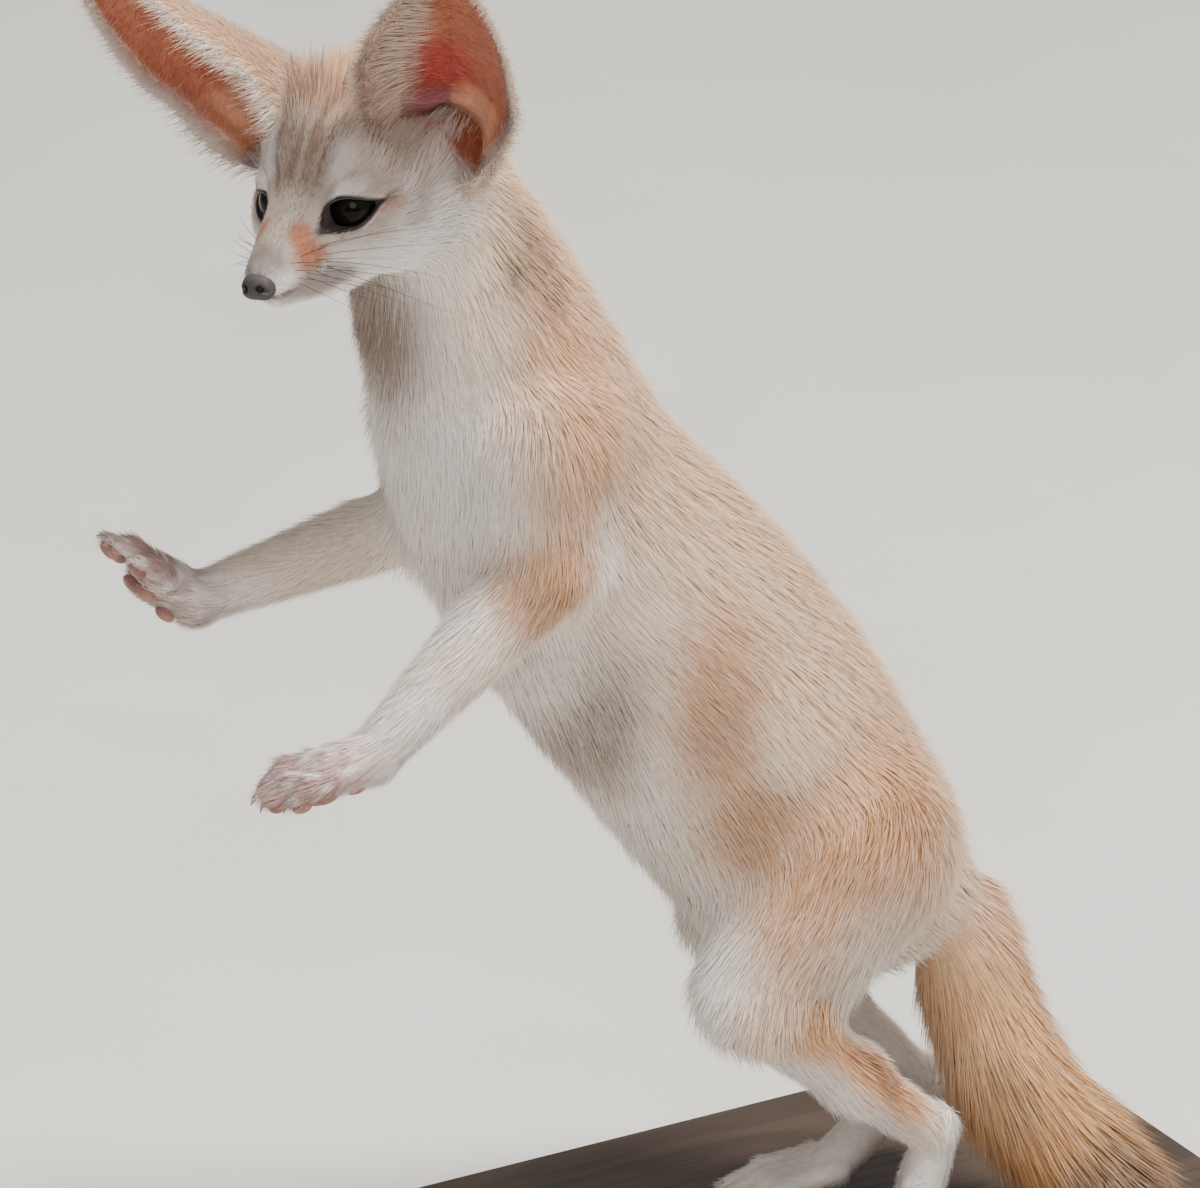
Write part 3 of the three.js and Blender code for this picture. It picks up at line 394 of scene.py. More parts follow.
def eye_axes(side):
    look = np.array([math.cos(EYE["turn"]), side * math.sin(EYE["turn"]), EYE["rise"]]) @ HEAD_AXES
    centre = from_head((0, side * EYE["out"], 0)) - unit(look) * EYE["radius"]
    return centre, axes_of(look, HEAD_AXES[2])


def lid_heights(t):
    """Heights of the upper and lower lid from the inner corner, t = 0, to the outer one."""
    line = EYE["corner_heights"][0] * (1 - t) + EYE["corner_heights"][1] * t
    upper = line + EYE["upper"] * np.sin(math.pi * t**0.66)
    return upper, line - EYE["lower"] * np.sin(math.pi * t**1.3)


def eye_opening(q, side):
    """Distance from the edge of the lids, seen along the look, negative between them."""
    inner, outer = EYE["corners"]
    aside = side * q[:, 1]
    t = np.clip((aside - inner) / (outer - inner), 0, 1)
    upper, lower = lid_heights(t)
    beyond = np.maximum(np.maximum(inner - aside, aside - outer), 0)
    return np.maximum(q[:, 2] - upper, lower - q[:, 2]) * 0.85 + 0.6 * beyond


def ear_axes(side):
    root = from_head((-32, side * 26, 9))
    axis = np.array([0.4, side * 0.45, 0.8]) @ HEAD_AXES
    facing = np.array([0.94, side * 0.34, 0]) @ HEAD_AXES
    return root, axes_of(axis, facing)


def ear_section(v):
    """Radius of the cup's arc, half its angle and where the arc's back lies, at v from root to tip."""
    rounded = np.clip(1 - np.maximum(v, 0) ** 2.6, 1e-4, 1) ** 0.6
    half = EAR["half_width"] * (0.68 + 0.32 * smooth(0, 0.45, v)) * rounded
    bend_angle = 2.1 - 0.9 * smooth(0, 0.4, v) - 0.35 * smooth(0.4, 1, v)
    radius = half / np.sin(np.minimum(bend_angle, math.pi / 2))
    back = -EAR["half_width"] * 0.68 * (1 - v)
    return radius, bend_angle, back


def ear_hollow(p, side):
    root, axes = ear_axes(side)
    q = (p - root) @ axes.T
    v = np.clip(q[:, 0] / EAR["length"], 0.02, 0.7)
    radius, bend_angle, back = ear_section(v)
    middle = back + radius
    cup = np.hypot(q[:, 1], q[:, 2] - middle) - (radius - 1.5)
    front = q[:, 2] - (middle - radius * np.cos(bend_angle) + EAR["clear"])
    return np.maximum(np.maximum(cup, front), 4 - q[:, 0])


def lip_line():
    right = [(f, -l, u) for f, l, u in LIPS[:-1]][::-1]
    return [from_head(point) for point in LIPS + right]


def lip_distance(p):
    points = lip_line()
    return np.min([round_cone(p, a, b, 0.01, 0.009) for a, b in zip(points[:-1], points[1:])], axis=0)


def skin_field(p):
    """The skin under the coat, with sockets, lids, lips and room for the ears."""
    body, distances = body_forms(p)
    d = body + coat_depth(p, link_weights(distances))
    near = ((p - HEAD_AT) ** 2).sum(1) < 90**2
    if near.any():
        q = p[near]
        head = d[near]
        for side in (1, -1):
            centre, axes = eye_axes(side)
            e = (q - centre) @ axes.T
            from_centre = np.linalg.norm(e, axis=1)
            head = blend(head, from_centre - (EYE["radius"] + 1.5), 3.0)
            floor = 3.0 + 3.2 * smooth(-5.5, -8.5, side * e[:, 1]) + 2.0 * smooth(5.4, 8.0, side * e[:, 1])
            edge = eye_opening(e, side)
            bevel = from_centre - (EYE["radius"] + 1.6 + 1.2 * np.maximum(edge, 0))
            bevel = bevel - 30 * np.maximum(smooth(4, 7, edge), smooth(-4, -8, side * e[:, 1]))
            head = np.where(e[:, 0] > 0, carve(head, -bevel, 1.2), head)
            opening = np.maximum(edge, floor - e[:, 0])
            head = carve(head, opening, 0.8)
            # The hollow ends inside the eyeball, so that the skin over it is thick enough to stay whole
            head = np.maximum(head, EYE["radius"] - 1.4 - from_centre)
            head = carve(head, ear_hollow(q, side), 2.0)
        head = carve(head, lip_distance(q) - 0.75, 0.9)
        d[near] = head
    return np.maximum(d, FLOOR - p[:, 2])


def surface_net(field, low, high, cell):
    """A closed mesh of the field's surface: one vertex for each grid cell that it crosses."""
    low, high = np.asarray(low, float), np.asarray(high, float)
    block = 6
    counts = np.ceil((high - low) / (cell * block)).astype(int)
    size = counts * block + 1
    coarse_lines = [low[i] + cell * block * np.arange(counts[i] + 1) for i in range(3)]
    coarse = in_steps(field, np.stack(np.meshgrid(*coarse_lines, indexing="ij"), -1).reshape(-1, 3))
    coarse = coarse.reshape(counts + 1)
    corners = [(i, j, k) for i in (0, 1) for j in (0, 1) for k in (0, 1)]
    nearest = np.min([np.abs(coarse[i:i + counts[0], j:j + counts[1], k:k + counts[2]])
                      for i, j, k in corners], axis=0)
    crossed = nearest < cell * block * 1.75
    values = np.where(np.kron(coarse[:-1, :-1, :-1] < 0, np.ones((block,) * 3, bool)), -9.0, 9.0)
    values = np.pad(values, ((0, 1),) * 3, mode="edge").astype(np.float32)
    wanted = np.zeros(size, bool)
    fine = np.kron(crossed, np.ones((block,) * 3, bool))
    for i, j, k in corners:
        wanted[i:i + fine.shape[0], j:j + fine.shape[1], k:k + fine.shape[2]] |= fine
    spots = np.argwhere(wanted)
    values[wanted] = in_steps(field, low + cell * spots)
    inside = values < 0
    cells = size - 1
    count = sum(inside[i:i + cells[0], j:j + cells[1], k:k + cells[2]].astype(np.int8) for i, j, k in corners)
    active = np.argwhere((count > 0) & (count < 8))
    number = -np.ones(cells, int)
    number[tuple(active.T)] = np.arange(len(active))
    total = np.zeros((len(active), 3))
    hits = np.zeros(len(active))
    for corner in corners:
        for axis in range(3):
            if corner[axis]:
                continue
            other = list(corner)
            other[axis] = 1
            f0 = values[tuple((active + corner).T)]
            f1 = values[tuple((active + other).T)]
            crossing = (f0 < 0) != (f1 < 0)
            share = f0 / np.where(crossing, f0 - f1, 1)
            place = np.tile(np.array(corner, float), (len(active), 1))
            place[:, axis] += share
            total[crossing] += place[crossing]
            hits[crossing] += 1
    points = low + cell * (active + total / hits[:, None])
    quads = []
    for axis in range(3):
        a, b = (axis + 1) % 3, (axis + 2) % 3
        first, second = [slice(None)] * 3, [slice(None)] * 3
        first[axis], second[axis] = slice(0, size[axis] - 1), slice(1, size[axis])
        for other in (a, b):
            first[other] = second[other] = slice(1, size[other] - 1)
        s0, s1 = inside[tuple(first)], inside[tuple(second)]
        for flip, edges in ((False, np.argwhere(s0 & ~s1)), (True, np.argwhere(~s0 & s1))):
            edges[:, a] += 1
            edges[:, b] += 1
            ring = []
            for da, db in ((1, 1), (0, 1), (0, 0), (1, 0)):
                at = edges.copy()
                at[:, a] -= da
                at[:, b] -= db
                ring.append(number[tuple(at.T)])
            quads.append(np.stack(ring[::-1] if flip else ring, 1))
    quads = np.concatenate(quads)
    return points, np.concatenate([quads[:, [0, 1, 2]], quads[:, [0, 2, 3]]])


def in_steps(field, points, step=150000):
    return np.concatenate([field(points[i:i + step]) for i in range(0, len(points), step)])


def onto_surface(field, points, longest, rounds=3):
    for _ in range(rounds):
        value = in_steps(field, points)
        slope = np.stack([in_steps(field, points + 0.05 * row) - value for row in np.eye(3)], 1) / 0.05
        step = -(value / np.maximum((slope**2).sum(1), 1e-6))[:, None] * slope
        size = np.linalg.norm(step, axis=1, keepdims=True)
        points = points + step * np.minimum(1, longest / np.maximum(size, 1e-9))
    return points


def refined(points, triangles, chosen):
    """Splits each triangle whose corners are all chosen into four, and closes up round them."""
    sides = [triangles[:, [0, 1]], triangles[:, [1, 2]], triangles[:, [2, 0]]]
    edges = np.sort(np.concatenate(sides), axis=1)
    keys, inverse = np.unique(edges, axis=0, return_inverse=True)
    inverse = inverse.reshape(-1)
    split = chosen[keys].all(1)
    middle = -np.ones(len(keys), int)
    middle[split] = len(points) + np.arange(split.sum())
    points = np.concatenate([points, points[keys[split]].mean(1)])
    mids = middle[inverse].reshape(3, -1).T
    whole = (mids >= 0).all(1)
    none = (mids < 0).all(1)
    out = [triangles[none]]
    t, m = triangles[whole], mids[whole]
    out += [np.stack([t[:, 0], m[:, 0], m[:, 2]], 1), np.stack([t[:, 1], m[:, 1], m[:, 0]], 1)]
    out += [np.stack([t[:, 2], m[:, 2], m[:, 1]], 1), m]
    for k in range(3):
        one = (mids[:, k] >= 0) & ~whole
        t, m = triangles[one], mids[one][:, k]
        a, b, c = t[:, k], t[:, (k + 1) % 3], t[:, (k + 2) % 3]
        out += [np.stack([a, m, c], 1), np.stack([m, b, c], 1)]
    return points, np.concatenate(out)


def hashed(cell, seed):
    i, j, k = cell.T
    n = (i * 73856093) ^ (j * 19349663) ^ (k * 83492791) ^ (seed * 40503)
    n = (n ^ (n >> 13)) * 1274126177 & 0xFFFFFFFF
    n = (n ^ (n >> 16)) * 2246822519 & 0xFFFFFFFF
    return (n >> 8 & 0xFFFF) / 32767.5 - 1


def noise(p, scale, seed):
    """Smooth noise from -1 to 1, with bumps about as wide as scale."""
    q = p / scale + 500
    cell = np.floor(q).astype(np.int64)
    t = q - cell
    t = t * t * (3 - 2 * t)
    out = np.zeros(len(p))
    for corner in [(i, j, k) for i in (0, 1) for j in (0, 1) for k in (0, 1)]:
        share = np.prod([t[:, i] if corner[i] else 1 - t[:, i] for i in range(3)], axis=0)
        out += share * hashed(cell + corner, seed)
    return out


def noise_vector(p, scale, seed):
    return np.stack([noise(p, scale, seed + i) for i in range(3)], 1)


def normals_of(points, triangles):
    a, b, c = (points[triangles[:, i]] for i in range(3))
    face = np.cross(b - a, c - a)
    out = np.zeros_like(points)
    for i in range(3):
        np.add.at(out, triangles[:, i], face)
    return out / np.maximum(np.linalg.norm(out, axis=1, keepdims=True), 1e-12), face


def linear(*srgb):
    """A screen colour of 0 to 255 as the scene-linear values that Blender keeps."""
    return tuple(c / 3294.6 if c <= 10.3 else ((c / 255 + 0.055) / 1.055) ** 2.4 for c in srgb)


def dimmed(colour, factor):
    """The same colour, darker."""
    return tuple(c * factor for c in colour)


# Markings
def spot(p, centre, radii, wobble=None, edge=0.45):
    """1 inside an oval spot, fading to 0 over its edge."""
    r = np.sqrt((((p - np.array(centre, float)) / radii) ** 2).sum(1))
    if wobble is not None:
        r = r + wobble
    return 1 - smooth(1 - edge, 1 + edge, r)


def streak(p, a, b, radius, wobble=None, edge=0.5):
    """1 along the line from a to b, fading to 0 over its edge."""
    d = round_cone(p, a, b, 0.01, 0.009) / radius
    if wobble is not None:
        d = d + wobble
    return 1 - smooth(1 - edge, 1 + edge, d)


def mixed(base, colour, share):
    return base + (np.asarray(colour) - base) * share[:, None]


def spine_place(p):
    """How far towards the back of the trunk a point lies, from -1 at the belly to 1 at the spine."""
    best = np.full(len(p), 1e9)
    out = np.zeros(len(p))
    for a, b in zip(SPINE[:-1], SPINE[1:]):
        start, end = np.array(a[:3], float), np.array(b[:3], float)
        axis = unit(end - start)
        dorsal = unit(np.array([0, -axis[2], axis[1]]))
        along = np.clip((p - start) @ axis / np.linalg.norm(end - start), 0, 1)
        radius = a[3] + (b[3] - a[3]) * along
        offset = p - (start + along[:, None] * (end - start))
        distance = np.linalg.norm(offset, axis=1)
        closer = distance < best
        out = np.where(closer, offset @ dorsal / radius, out)
        best = np.minimum(best, distance)
    return out


def body_tones(p, weights, look):
    """The coat's colour at points on the body, with painted shade under the chin and, in part, on the belly."""
    share = {name: np.zeros(len(p)) for name in set(PART_NAMES)}
    for name, w in zip(PART_NAMES, weights):
        share[name] += w
    m = p.copy()
    m[:, 0] = np.abs(m[:, 0])
    w1, w2 = noise(p, 22, 3), noise(p, 8, 7)
    wobble = 0.20 * w1 + 0.07 * w2
    back = spine_place(p)
    trunk = share["trunk"] + share["thigh"] + share["shoulder"]
    side = smooth(-0.55, 0.40, back + 0.2 * w1) * trunk
    spine = smooth(0.30, 0.95, back + 0.15 * w1) * trunk

    def paint(ground, paint_colour, amount, centre, radii):
        return mixed(ground, paint_colour, amount * spot(m, centre, radii, wobble, 0.62))

    tone = np.tile(np.array(look.cream), (len(p), 1))
    tone = mixed(tone, look.white, 0.8 * smooth(-0.2, -0.8, back + 0.2 * w1) * smooth(250, 330, p[:, 2]))
    tone = mixed(tone, look.sand, 0.78 * side)
    tone = mixed(tone, look.gold, (0.36 + 0.12 * w2) * spine)
    # Soft golden patches on the side of the neck, behind the ribs, on the rump and on the thigh
    tone = paint(tone, look.gold, 0.66, (34, -96, 350), (14, 19, 44))
    strands = smooth(-0.1, 0.5, noise(m * (1.2, 0.5, 0.25), 3.2, 17))
    neck = spot(m, (27, -106, 395), (11, 12, 19), wobble, 0.62)
    tone = mixed(tone, look.brown, (0.34 + 0.40 * strands) * neck)
    tone = paint(tone, look.gold, 0.55, (50, -104, 322), (10, 13, 30))
    tone = mixed(tone, look.rust, 0.50 * streak(m, (54, -108, 300), (52, -103, 284), 5, wobble))
    tone = paint(tone, look.white, 0.70, (51, -90, 289), (12, 9, 22))
    tone = paint(tone, look.gold, 0.74, (44, -54, 236), (16, 17, 34))
    tone = paint(tone, look.brown, 0.30, (44, -54, 234), (12, 11, 20))
    tone = paint(tone, look.gold, 0.72, (40, -38, 188), (18, 13, 23))
    tone = paint(tone, look.gold, 0.68, (49, 13, 200), (22, 22, 30))
    tone = paint(tone, look.rust, 0.18, (48, 18, 196), (16, 13, 22))
    tone = paint(tone, look.gold, 0.78, (46, -14, 174), (15, 22, 28))
    tone = paint(tone, look.brown, 0.26, (42, -34, 186), (14, 11, 18))
    tone = paint(tone, look.white, 0.80, (38, -46, 146), (15, 13, 27))
    # The underside of the chest and belly greyer and browner: partly the coat's own colour, partly painted
    # shade
    tone = paint(tone, look.grey, 0.75, (24, -86, 226), (22, 12, 48))
    tone = paint(tone, look.brown, 0.36, (26, -82, 224), (20, 11, 36))
    # Painted shade under the chin: the throat made greyer and browner
    tone = paint(tone, look.grey, 0.75, (6, -148, 360), (22, 16, 22))
    tone = paint(tone, look.brown, 0.72, (8, -149, 368), (20, 14, 20))
    pale_legs = share["forearm"] + share["forepaw"] + share["foot"]
    tone = mixed(tone, look.white, 0.70 * smooth(0.2, 0.8, pale_legs))
    tone = paint(tone, look.gold, 0.85, (50, -110, 288), (18, 15, 18))
    tone = paint(tone, look.brown, 0.26, (51, -112, 286), (13, 12, 13))
    tone = mixed(tone, look.sand, 0.30 * share["forearm"] * smooth(-0.2, 0.8, w1))
    tone = mixed(tone, look.white, 0.60 * smooth(0.3, 0.9, share["shank"]))
    tone = paint(tone, look.gold, 0.50, (52, -24, 130), (14, 18, 20))
    tone = mixed(tone, look.gold, 0.95 * streak(m, (51, -14, 120), (45, 24, 82), 10, wobble))
    tone = mixed(tone, look.rust, 0.55 * streak(m, (49, -4, 112), (45, 20, 86), 5.0, wobble))
    tone = mixed(tone, look.brown, 0.60 * streak(m, (48, -2, 112), (46, 16, 90), 5.0, wobble))
    tone = mixed(tone, look.sand, 0.45 * spot(m, (44, 28, 74), (8, 10, 12), wobble))
    tufts = smooth(-0.5, 0.1, noise(p, 3.2, 47))
    tone = mixed(tone, look.pink, 0.85 * share["forepaw"] * tufts)
    tail = np.clip(share["tail"], 0, 1)
    along = smooth(130, 30, p[:, 2]) * 0.5 + 0.5 * smooth(0, 62, p[:, 0])
    tail_tone = np.tile(np.array(look.sand), (len(p), 1))
    tail_tone = mixed(tail_tone, look.tail, smooth(0.0, 0.35, along + 0.12 * w1))
    streaks = smooth(0.1, 0.8, noise(p * (1, 1, 0.35), 5, 21) + 0.35 * w1)
    tail_tone = mixed(tail_tone, look.rust, 0.22 * streaks)
    tail_tone = mixed(tail_tone, look.dark, 0.92 * smooth(24, 52, p[:, 0] + 9 * w1 + 5 * w2))
    patch = spot(p, (4, 78, 112), (9, 6, 14), wobble)
    tail_tone = mixed(tail_tone, look.brown, 0.35 * patch)
    tail_tone = mixed(tail_tone, look.brown, 0.40 * streak(p, (16, 57, 102), (30, 66, 76), 5, wobble))
    under = smooth(0.2, 1.0, (40 - p[:, 1] + 40) / 40) * smooth(110, 60, p[:, 2])
    tail_tone = mixed(tail_tone, look.cream, 0.35 * under)
    tone = tone + (tail_tone - tone) * tail[:, None]
    head = np.clip(share["head"], 0, 1)
    tone = tone + (head_tones(p, look) - tone) * smooth(0.15, 0.85, head)[:, None]
    return tone * (1 + 0.04 * w2 + 0.05 * w1)[:, None]


def forehead_streaks(q):
    """Where the forehead is dark, and its fine uneven streaks, which run together towards the eyes."""
    aside = 9 * q[:, 1] / (6.0 + 0.26 * np.maximum(q[:, 2], 0))
    across = np.abs(aside) / 9
    place = np.stack([0.08 * q[:, 0], aside, 0.08 * q[:, 2]], 1)
    lines = smooth(-0.2, 0.4, noise(place, 1.1, 33) + 0.5 * noise(place, 0.6, 35) + 0.4 * noise(q, 4, 39))
    mask = smooth(1, 9, q[:, 2]) * smooth(13, 3, q[:, 0]) * smooth(1.3, 0.7, across)
    return mask * smooth(36, 25, q[:, 2]) * smooth(-26, -14, q[:, 0]), lines


def head_tones(p, look):
    """The colours of the face and the back of the head, the same on both sides."""
    q = to_head(p)
    m = q.copy()
    m[:, 1] = np.abs(m[:, 1])
    w1, w2 = noise(p, 7, 31), noise(p, 3, 37)
    wobble = 0.25 * w1 + 0.15 * w2
    tone = np.tile(np.array(look.face), (len(p), 1))
    tone = mixed(tone, look.white, smooth(-4, -15, q[:, 2]))
    tone = mixed(tone, look.white, 0.9 * spot(m, (-20, 27, -14), (17, 16, 15), wobble))
    crown = smooth(20, 30, q[:, 2] + 3 * w1) * smooth(2, -10, q[:, 0]) * smooth(24, 12, m[:, 1])
    tone = mixed(tone, look.gold, 0.80 * crown)
    tone = mixed(tone, look.rust, 0.20 * crown * smooth(-0.2, 0.6, w2))
    nape = smooth(-34, -50, q[:, 0] + 4 * w1) * smooth(-14, 4, q[:, 2])
    tone = mixed(tone, look.gold, 0.55 * nape)
    forehead, streaks = forehead_streaks(q)
    tone = mixed(tone, look.white, 0.55 * spot(m, (0, 11.5, 14), (7, 4.5, 8), wobble))
    tone = mixed(tone, look.brown, (0.50 + 0.24 * streaks) * forehead)
    tone = mixed(tone, look.white, 0.60 * spot(m, (0, 15.4, 6.8), (6, 5, 2.6), 0.5 * wobble))
    tone = mixed(tone, look.brown, 0.55 * streak(m, (2.4, 11.2, 8.3), (-3.2, 16.8, 10.0), 0.9))
    tone = mixed(tone, look.brown, 0.40 * streak(m, (3.2, 10.8, 7.0), (6.4, 10.0, 3.2), 1.5, 0.6 * wobble))
    bridge = smooth(-2, 6, q[:, 0]) * smooth(6.5, 3.5, m[:, 1]) * smooth(-10, -4, q[:, 2])
    tone = mixed(tone, look.grey, (0.25 + 0.30 * smooth(-0.2, 0.5, w2)) * bridge)
    tone = mixed(tone, look.rust, 0.84 * spot(m, (16.2, 7.0, -2.6), (4.2, 3.2, 5.0), 0.6 * wobble))
    tone = mixed(tone, look.rust, 0.88 * spot(m, (16.4, 9.0, -9.0), (6.6, 4.4, 5.0), 0.6 * wobble))
    tone = mixed(tone, look.rust, 0.40 * spot(m, (-6.6, 24.2, 0.2), (4.4, 3.4, 2.4), wobble))
    tone = mixed(tone, look.grey, 0.80 * spot(m, (12, 8, -18.5), (14, 7, 4.5), wobble))
    tone = mixed(tone, look.lid, 0.30 * spot(m, (12, 8, -19.0), (12, 6, 4), wobble))
    tone = mixed(tone, look.grey, 0.5 * smooth(18, 26, q[:, 0] + w1) * smooth(-14, -9, q[:, 2]))
    tone = mixed(tone, look.rim, 0.60 * smooth(21, 27.0, q[:, 0] + w1) * smooth(-13, -8, q[:, 2]))
    tone = mixed(tone, look.brown, 0.30 * streak(m, (-11, 27, -6), (-20, 30, 2), 2.6, wobble))
    tone = mixed(tone, look.brown, 0.35 * streak(m, (-4, 24.5, 2), (-1, 22, 1), 1.4, wobble))
    for side in (1, -1):
        centre, axes = eye_axes(side)
        e = (p - centre) @ axes.T
        edge = eye_opening(e, side) + np.where(e[:, 0] > 0, 0, 20)
        tone = mixed(tone, look.rim, 0.95 * smooth(1.5, 0.5, edge))
        corner = smooth(0.4, -0.8, edge) * smooth(-5.8, -7.4, side * e[:, 1])
        tone = mixed(tone, look.lid, 0.75 * corner)
        inner = centre + np.array([6.2, side * -11.2, -4.0]) @ axes
        inner_end = inner + np.array([0.2, side * -0.3, -1.6]) @ axes
        tone = mixed(tone, look.rim, 0.7 * streak(p, inner, inner_end, 0.9))
        outer = centre + np.array([4.6, side * 8.6, 1.6]) @ axes
        outer_end = outer + np.array([-0.8, side * 1.6, 0.5]) @ axes
        tone = mixed(tone, look.rim, 0.7 * streak(p, outer, outer_end, 0.9))
    tone = mixed(tone, look.lip, 0.9 * smooth(2.0, 0.8, lip_distance(p)))
    under_nose = smooth(1.15, 1.0, np.linalg.norm((nose_place(p) - NOSE_AT) / NOSE_RADII, axis=1))
    return mixed(tone, look.rim, 0.98 * under_nose)


# Each region's share of a full coat, how far its hairs stray, and how much they take the skin's shading
COAT_PLAN = {
    "head_left": (0.9, 0.15, 0.65),
    "head_right": (0.9, 0.15, 0.65),
    "neck": (0.8, 0.16, 0.82),
    "chest": (1.0, 0.16, 0.85),
    "loin": (1.0, 0.16, 0.85),
    "forelegs": (0.6, 0.15, 0.8),
    "hind_legs": (0.9, 0.15, 0.82),
    "tail": (1.0, 0.14, 0.75),
}
REGIONS = tuple(COAT_PLAN)
COAT_SEED = 11
MOST_FACES = 199000  # of one piece of the coat
CHEST_END = -52  # y where the chest's region meets the loin's
NECK_START = 318  # z where the neck's region starts
THIGH_START = 140  # z under which the thigh's hair goes with the hind legs


def region_of(p, weights):
    part = np.array(PART_NAMES)[weights.argmax(0)]
    out = np.where(p[:, 1] < CHEST_END, REGIONS.index("chest"), REGIONS.index("loin"))
    out = np.where((part == "trunk") & (p[:, 2] > NECK_START), REGIONS.index("neck"), out)
    out = np.where(np.isin(part, ["forearm", "forepaw"]), REGIONS.index("forelegs"), out)
    out = np.where((part == "thigh") & (p[:, 2] < THIGH_START), REGIONS.index("hind_legs"), out)
    out = np.where(np.isin(part, ["shank", "foot"]), REGIONS.index("hind_legs"), out)
    out = np.where(part == "tail", REGIONS.index("tail"), out)
    half = np.where(to_head(p)[:, 1] > 0, REGIONS.index("head_left"), REGIONS.index("head_right"))
    return np.where(part == "head", half, out)


def box_unwrap(points, triangles, facing, region):
    """Lays the skin out flat: for each region twelve charts, by the way it faces and by body side."""
    middles = points[triangles].mean(1)
    axis = np.abs(facing).argmax(1)
    front = facing[np.arange(len(facing)), axis] > 0
    chart = axis * 4 + 2 * front + (middles[:, 0] > 0)
    column, row = chart % 4, chart // 4
    out = np.zeros((len(triangles), 3, 2))
    for k in np.unique(region):
        here = region == k
        spots = points[triangles[here]]
        low = spots.reshape(-1, 3).min(0)
        t = (spots - low) / (spots.reshape(-1, 3).max(0) - low).max()
        a = axis[here][:, None]
        u = np.where(a == 0, t[:, :, 1], t[:, :, 0])
        v = np.where(a == 2, t[:, :, 1], t[:, :, 2])
        out[here, :, 0] = (u * 0.94 + 0.03 + column[here][:, None]) / 4
        out[here, :, 1] = (v * 0.94 + 0.03 + row[here][:, None]) / 3
    return out.reshape(-1, 2)


def plain_mesh(name, points, faces, smooth_shaded=True):
    """A mesh in metres from points in millimetres."""
    mesh = bpy.data.meshes.new(name)
    mesh.from_pydata((np.asarray(points, float) * MM).tolist(), [], np.asarray(faces).tolist())
    mesh.update()
    if smooth_shaded:
        mesh.polygons.foreach_set("use_smooth", np.ones(len(mesh.polygons), bool))
    return mesh


def give(mesh, name, kind, domain, values):
    """Keeps one value of each point, face or corner on the mesh."""
    values = np.asarray(values)
    field = {"FLOAT_VECTOR": "vector", "FLOAT_COLOR": "color", "FLOAT2": "vector"}.get(kind, "value")
    if kind == "FLOAT_COLOR":
        values = np.concatenate([np.clip(values, 0, 1), np.ones((len(values), 1))], 1)
    layer = mesh.attributes.new(name, kind, domain)
    layer.data.foreach_set(field, values.astype(np.int32 if kind == "INT" else np.float32).reshape(-1))


def taken(mesh, name, width):
    layer = mesh.attributes[name]
    out = np.zeros(len(layer.data) * width, np.float32)
    field = {1: "value", 4: "color"}.get(width, "vector")
    layer.data.foreach_get(field, out)
    return out.reshape(-1, width) if width > 1 else out


def shown(name, mesh, material=None):
    obj = bpy.data.objects.new(name, mesh)
    bpy.context.scene.collection.objects.link(obj)
    if material is not None:
        mesh.materials.append(material)
    return obj


def settle(obj, slot, *nodes):
    """Rides the piece on the body and puts it in place of the model's nodes."""
    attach(obj, BODY)
    if nodes:
        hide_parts(*nodes)
    return obj


def tangent(direction, normals):
    flat = direction - normals * (direction * normals).sum(1, keepdims=True)
    size = np.linalg.norm(flat, axis=1, keepdims=True)
    return flat / np.maximum(size, 1e-6)


# Materials
def node_in(tree, kind, inputs=None, **settings):
    """Adds a node. Inputs are values or sockets of other nodes, by name or number."""
    node = tree.nodes.new(kind)
    for name, value in settings.items():
        setattr(node, name, value)
    for name, value in (inputs or {}).items():
        socket = node.inputs[name]
        if isinstance(value, bpy.types.NodeSocket):
            tree.links.new(value, socket)
        else:
            socket.default_value = value
    return node


def new_material(name, **values):
    material = bpy.data.materials.new(name)
    material.use_nodes = True
    tree = material.node_tree
    shader = next(n for n in tree.nodes if n.type == "BSDF_PRINCIPLED")
    for key, value in values.items():
        shader.inputs[key.replace("_", " ")].default_value = value
    return material, tree, shader


def maths(tree, operation, *values, clamp=False):
    node = tree.nodes.new("ShaderNodeMath")
    node.operation = operation
    node.use_clamp = clamp
    for socket, value in zip(node.inputs, values):
        if isinstance(value, bpy.types.NodeSocket):
            tree.links.new(value, socket)
        else:
            socket.default_value = value
    return node.outputs[0]


def ranged(tree, value, low, high, to_low=0.0, to_high=1.0):
    inputs = {"Value": value, "From Min": low, "From Max": high, "To Min": to_low, "To Max": to_high}
    return node_in(tree, "ShaderNodeMapRange", inputs, interpolation_type="SMOOTHSTEP").outputs[0]


def mix_colour(tree, share, a, b, way="MIX"):
    node = tree.nodes.new("ShaderNodeMix")
    node.data_type = "RGBA"
    node.blend_type = way
    for number, value in ((0, share), (6, a), (7, b)):
        if isinstance(value, bpy.types.NodeSocket):
            tree.links.new(value, node.inputs[number])
        else:
            node.inputs[number].default_value = (*value, 1) if number and len(value) == 3 else value
    return node.outputs[2]


def noise_node(tree, vector, scale, detail=2.0, roughness=0.5, distortion=0.0):
    inputs = {"Vector": vector, "Scale": scale, "Detail": detail, "Roughness": roughness}
    inputs["Distortion"] = distortion
    return node_in(tree, "ShaderNodeTexNoise", inputs).outputs[0]


def bump(tree, shader, height, strength, distance):
    node = node_in(tree, "ShaderNodeBump", {"Height": height, "Strength": strength, "Distance": distance})
    tree.links.new(node.outputs[0], shader.inputs["Normal"])


def attribute(tree, name, output="Color"):
    return node_in(tree, "ShaderNodeAttribute", attribute_name=name).outputs[output]


def object_place(tree):
    return tree.nodes.new("ShaderNodeTexCoord").outputs["Object"]


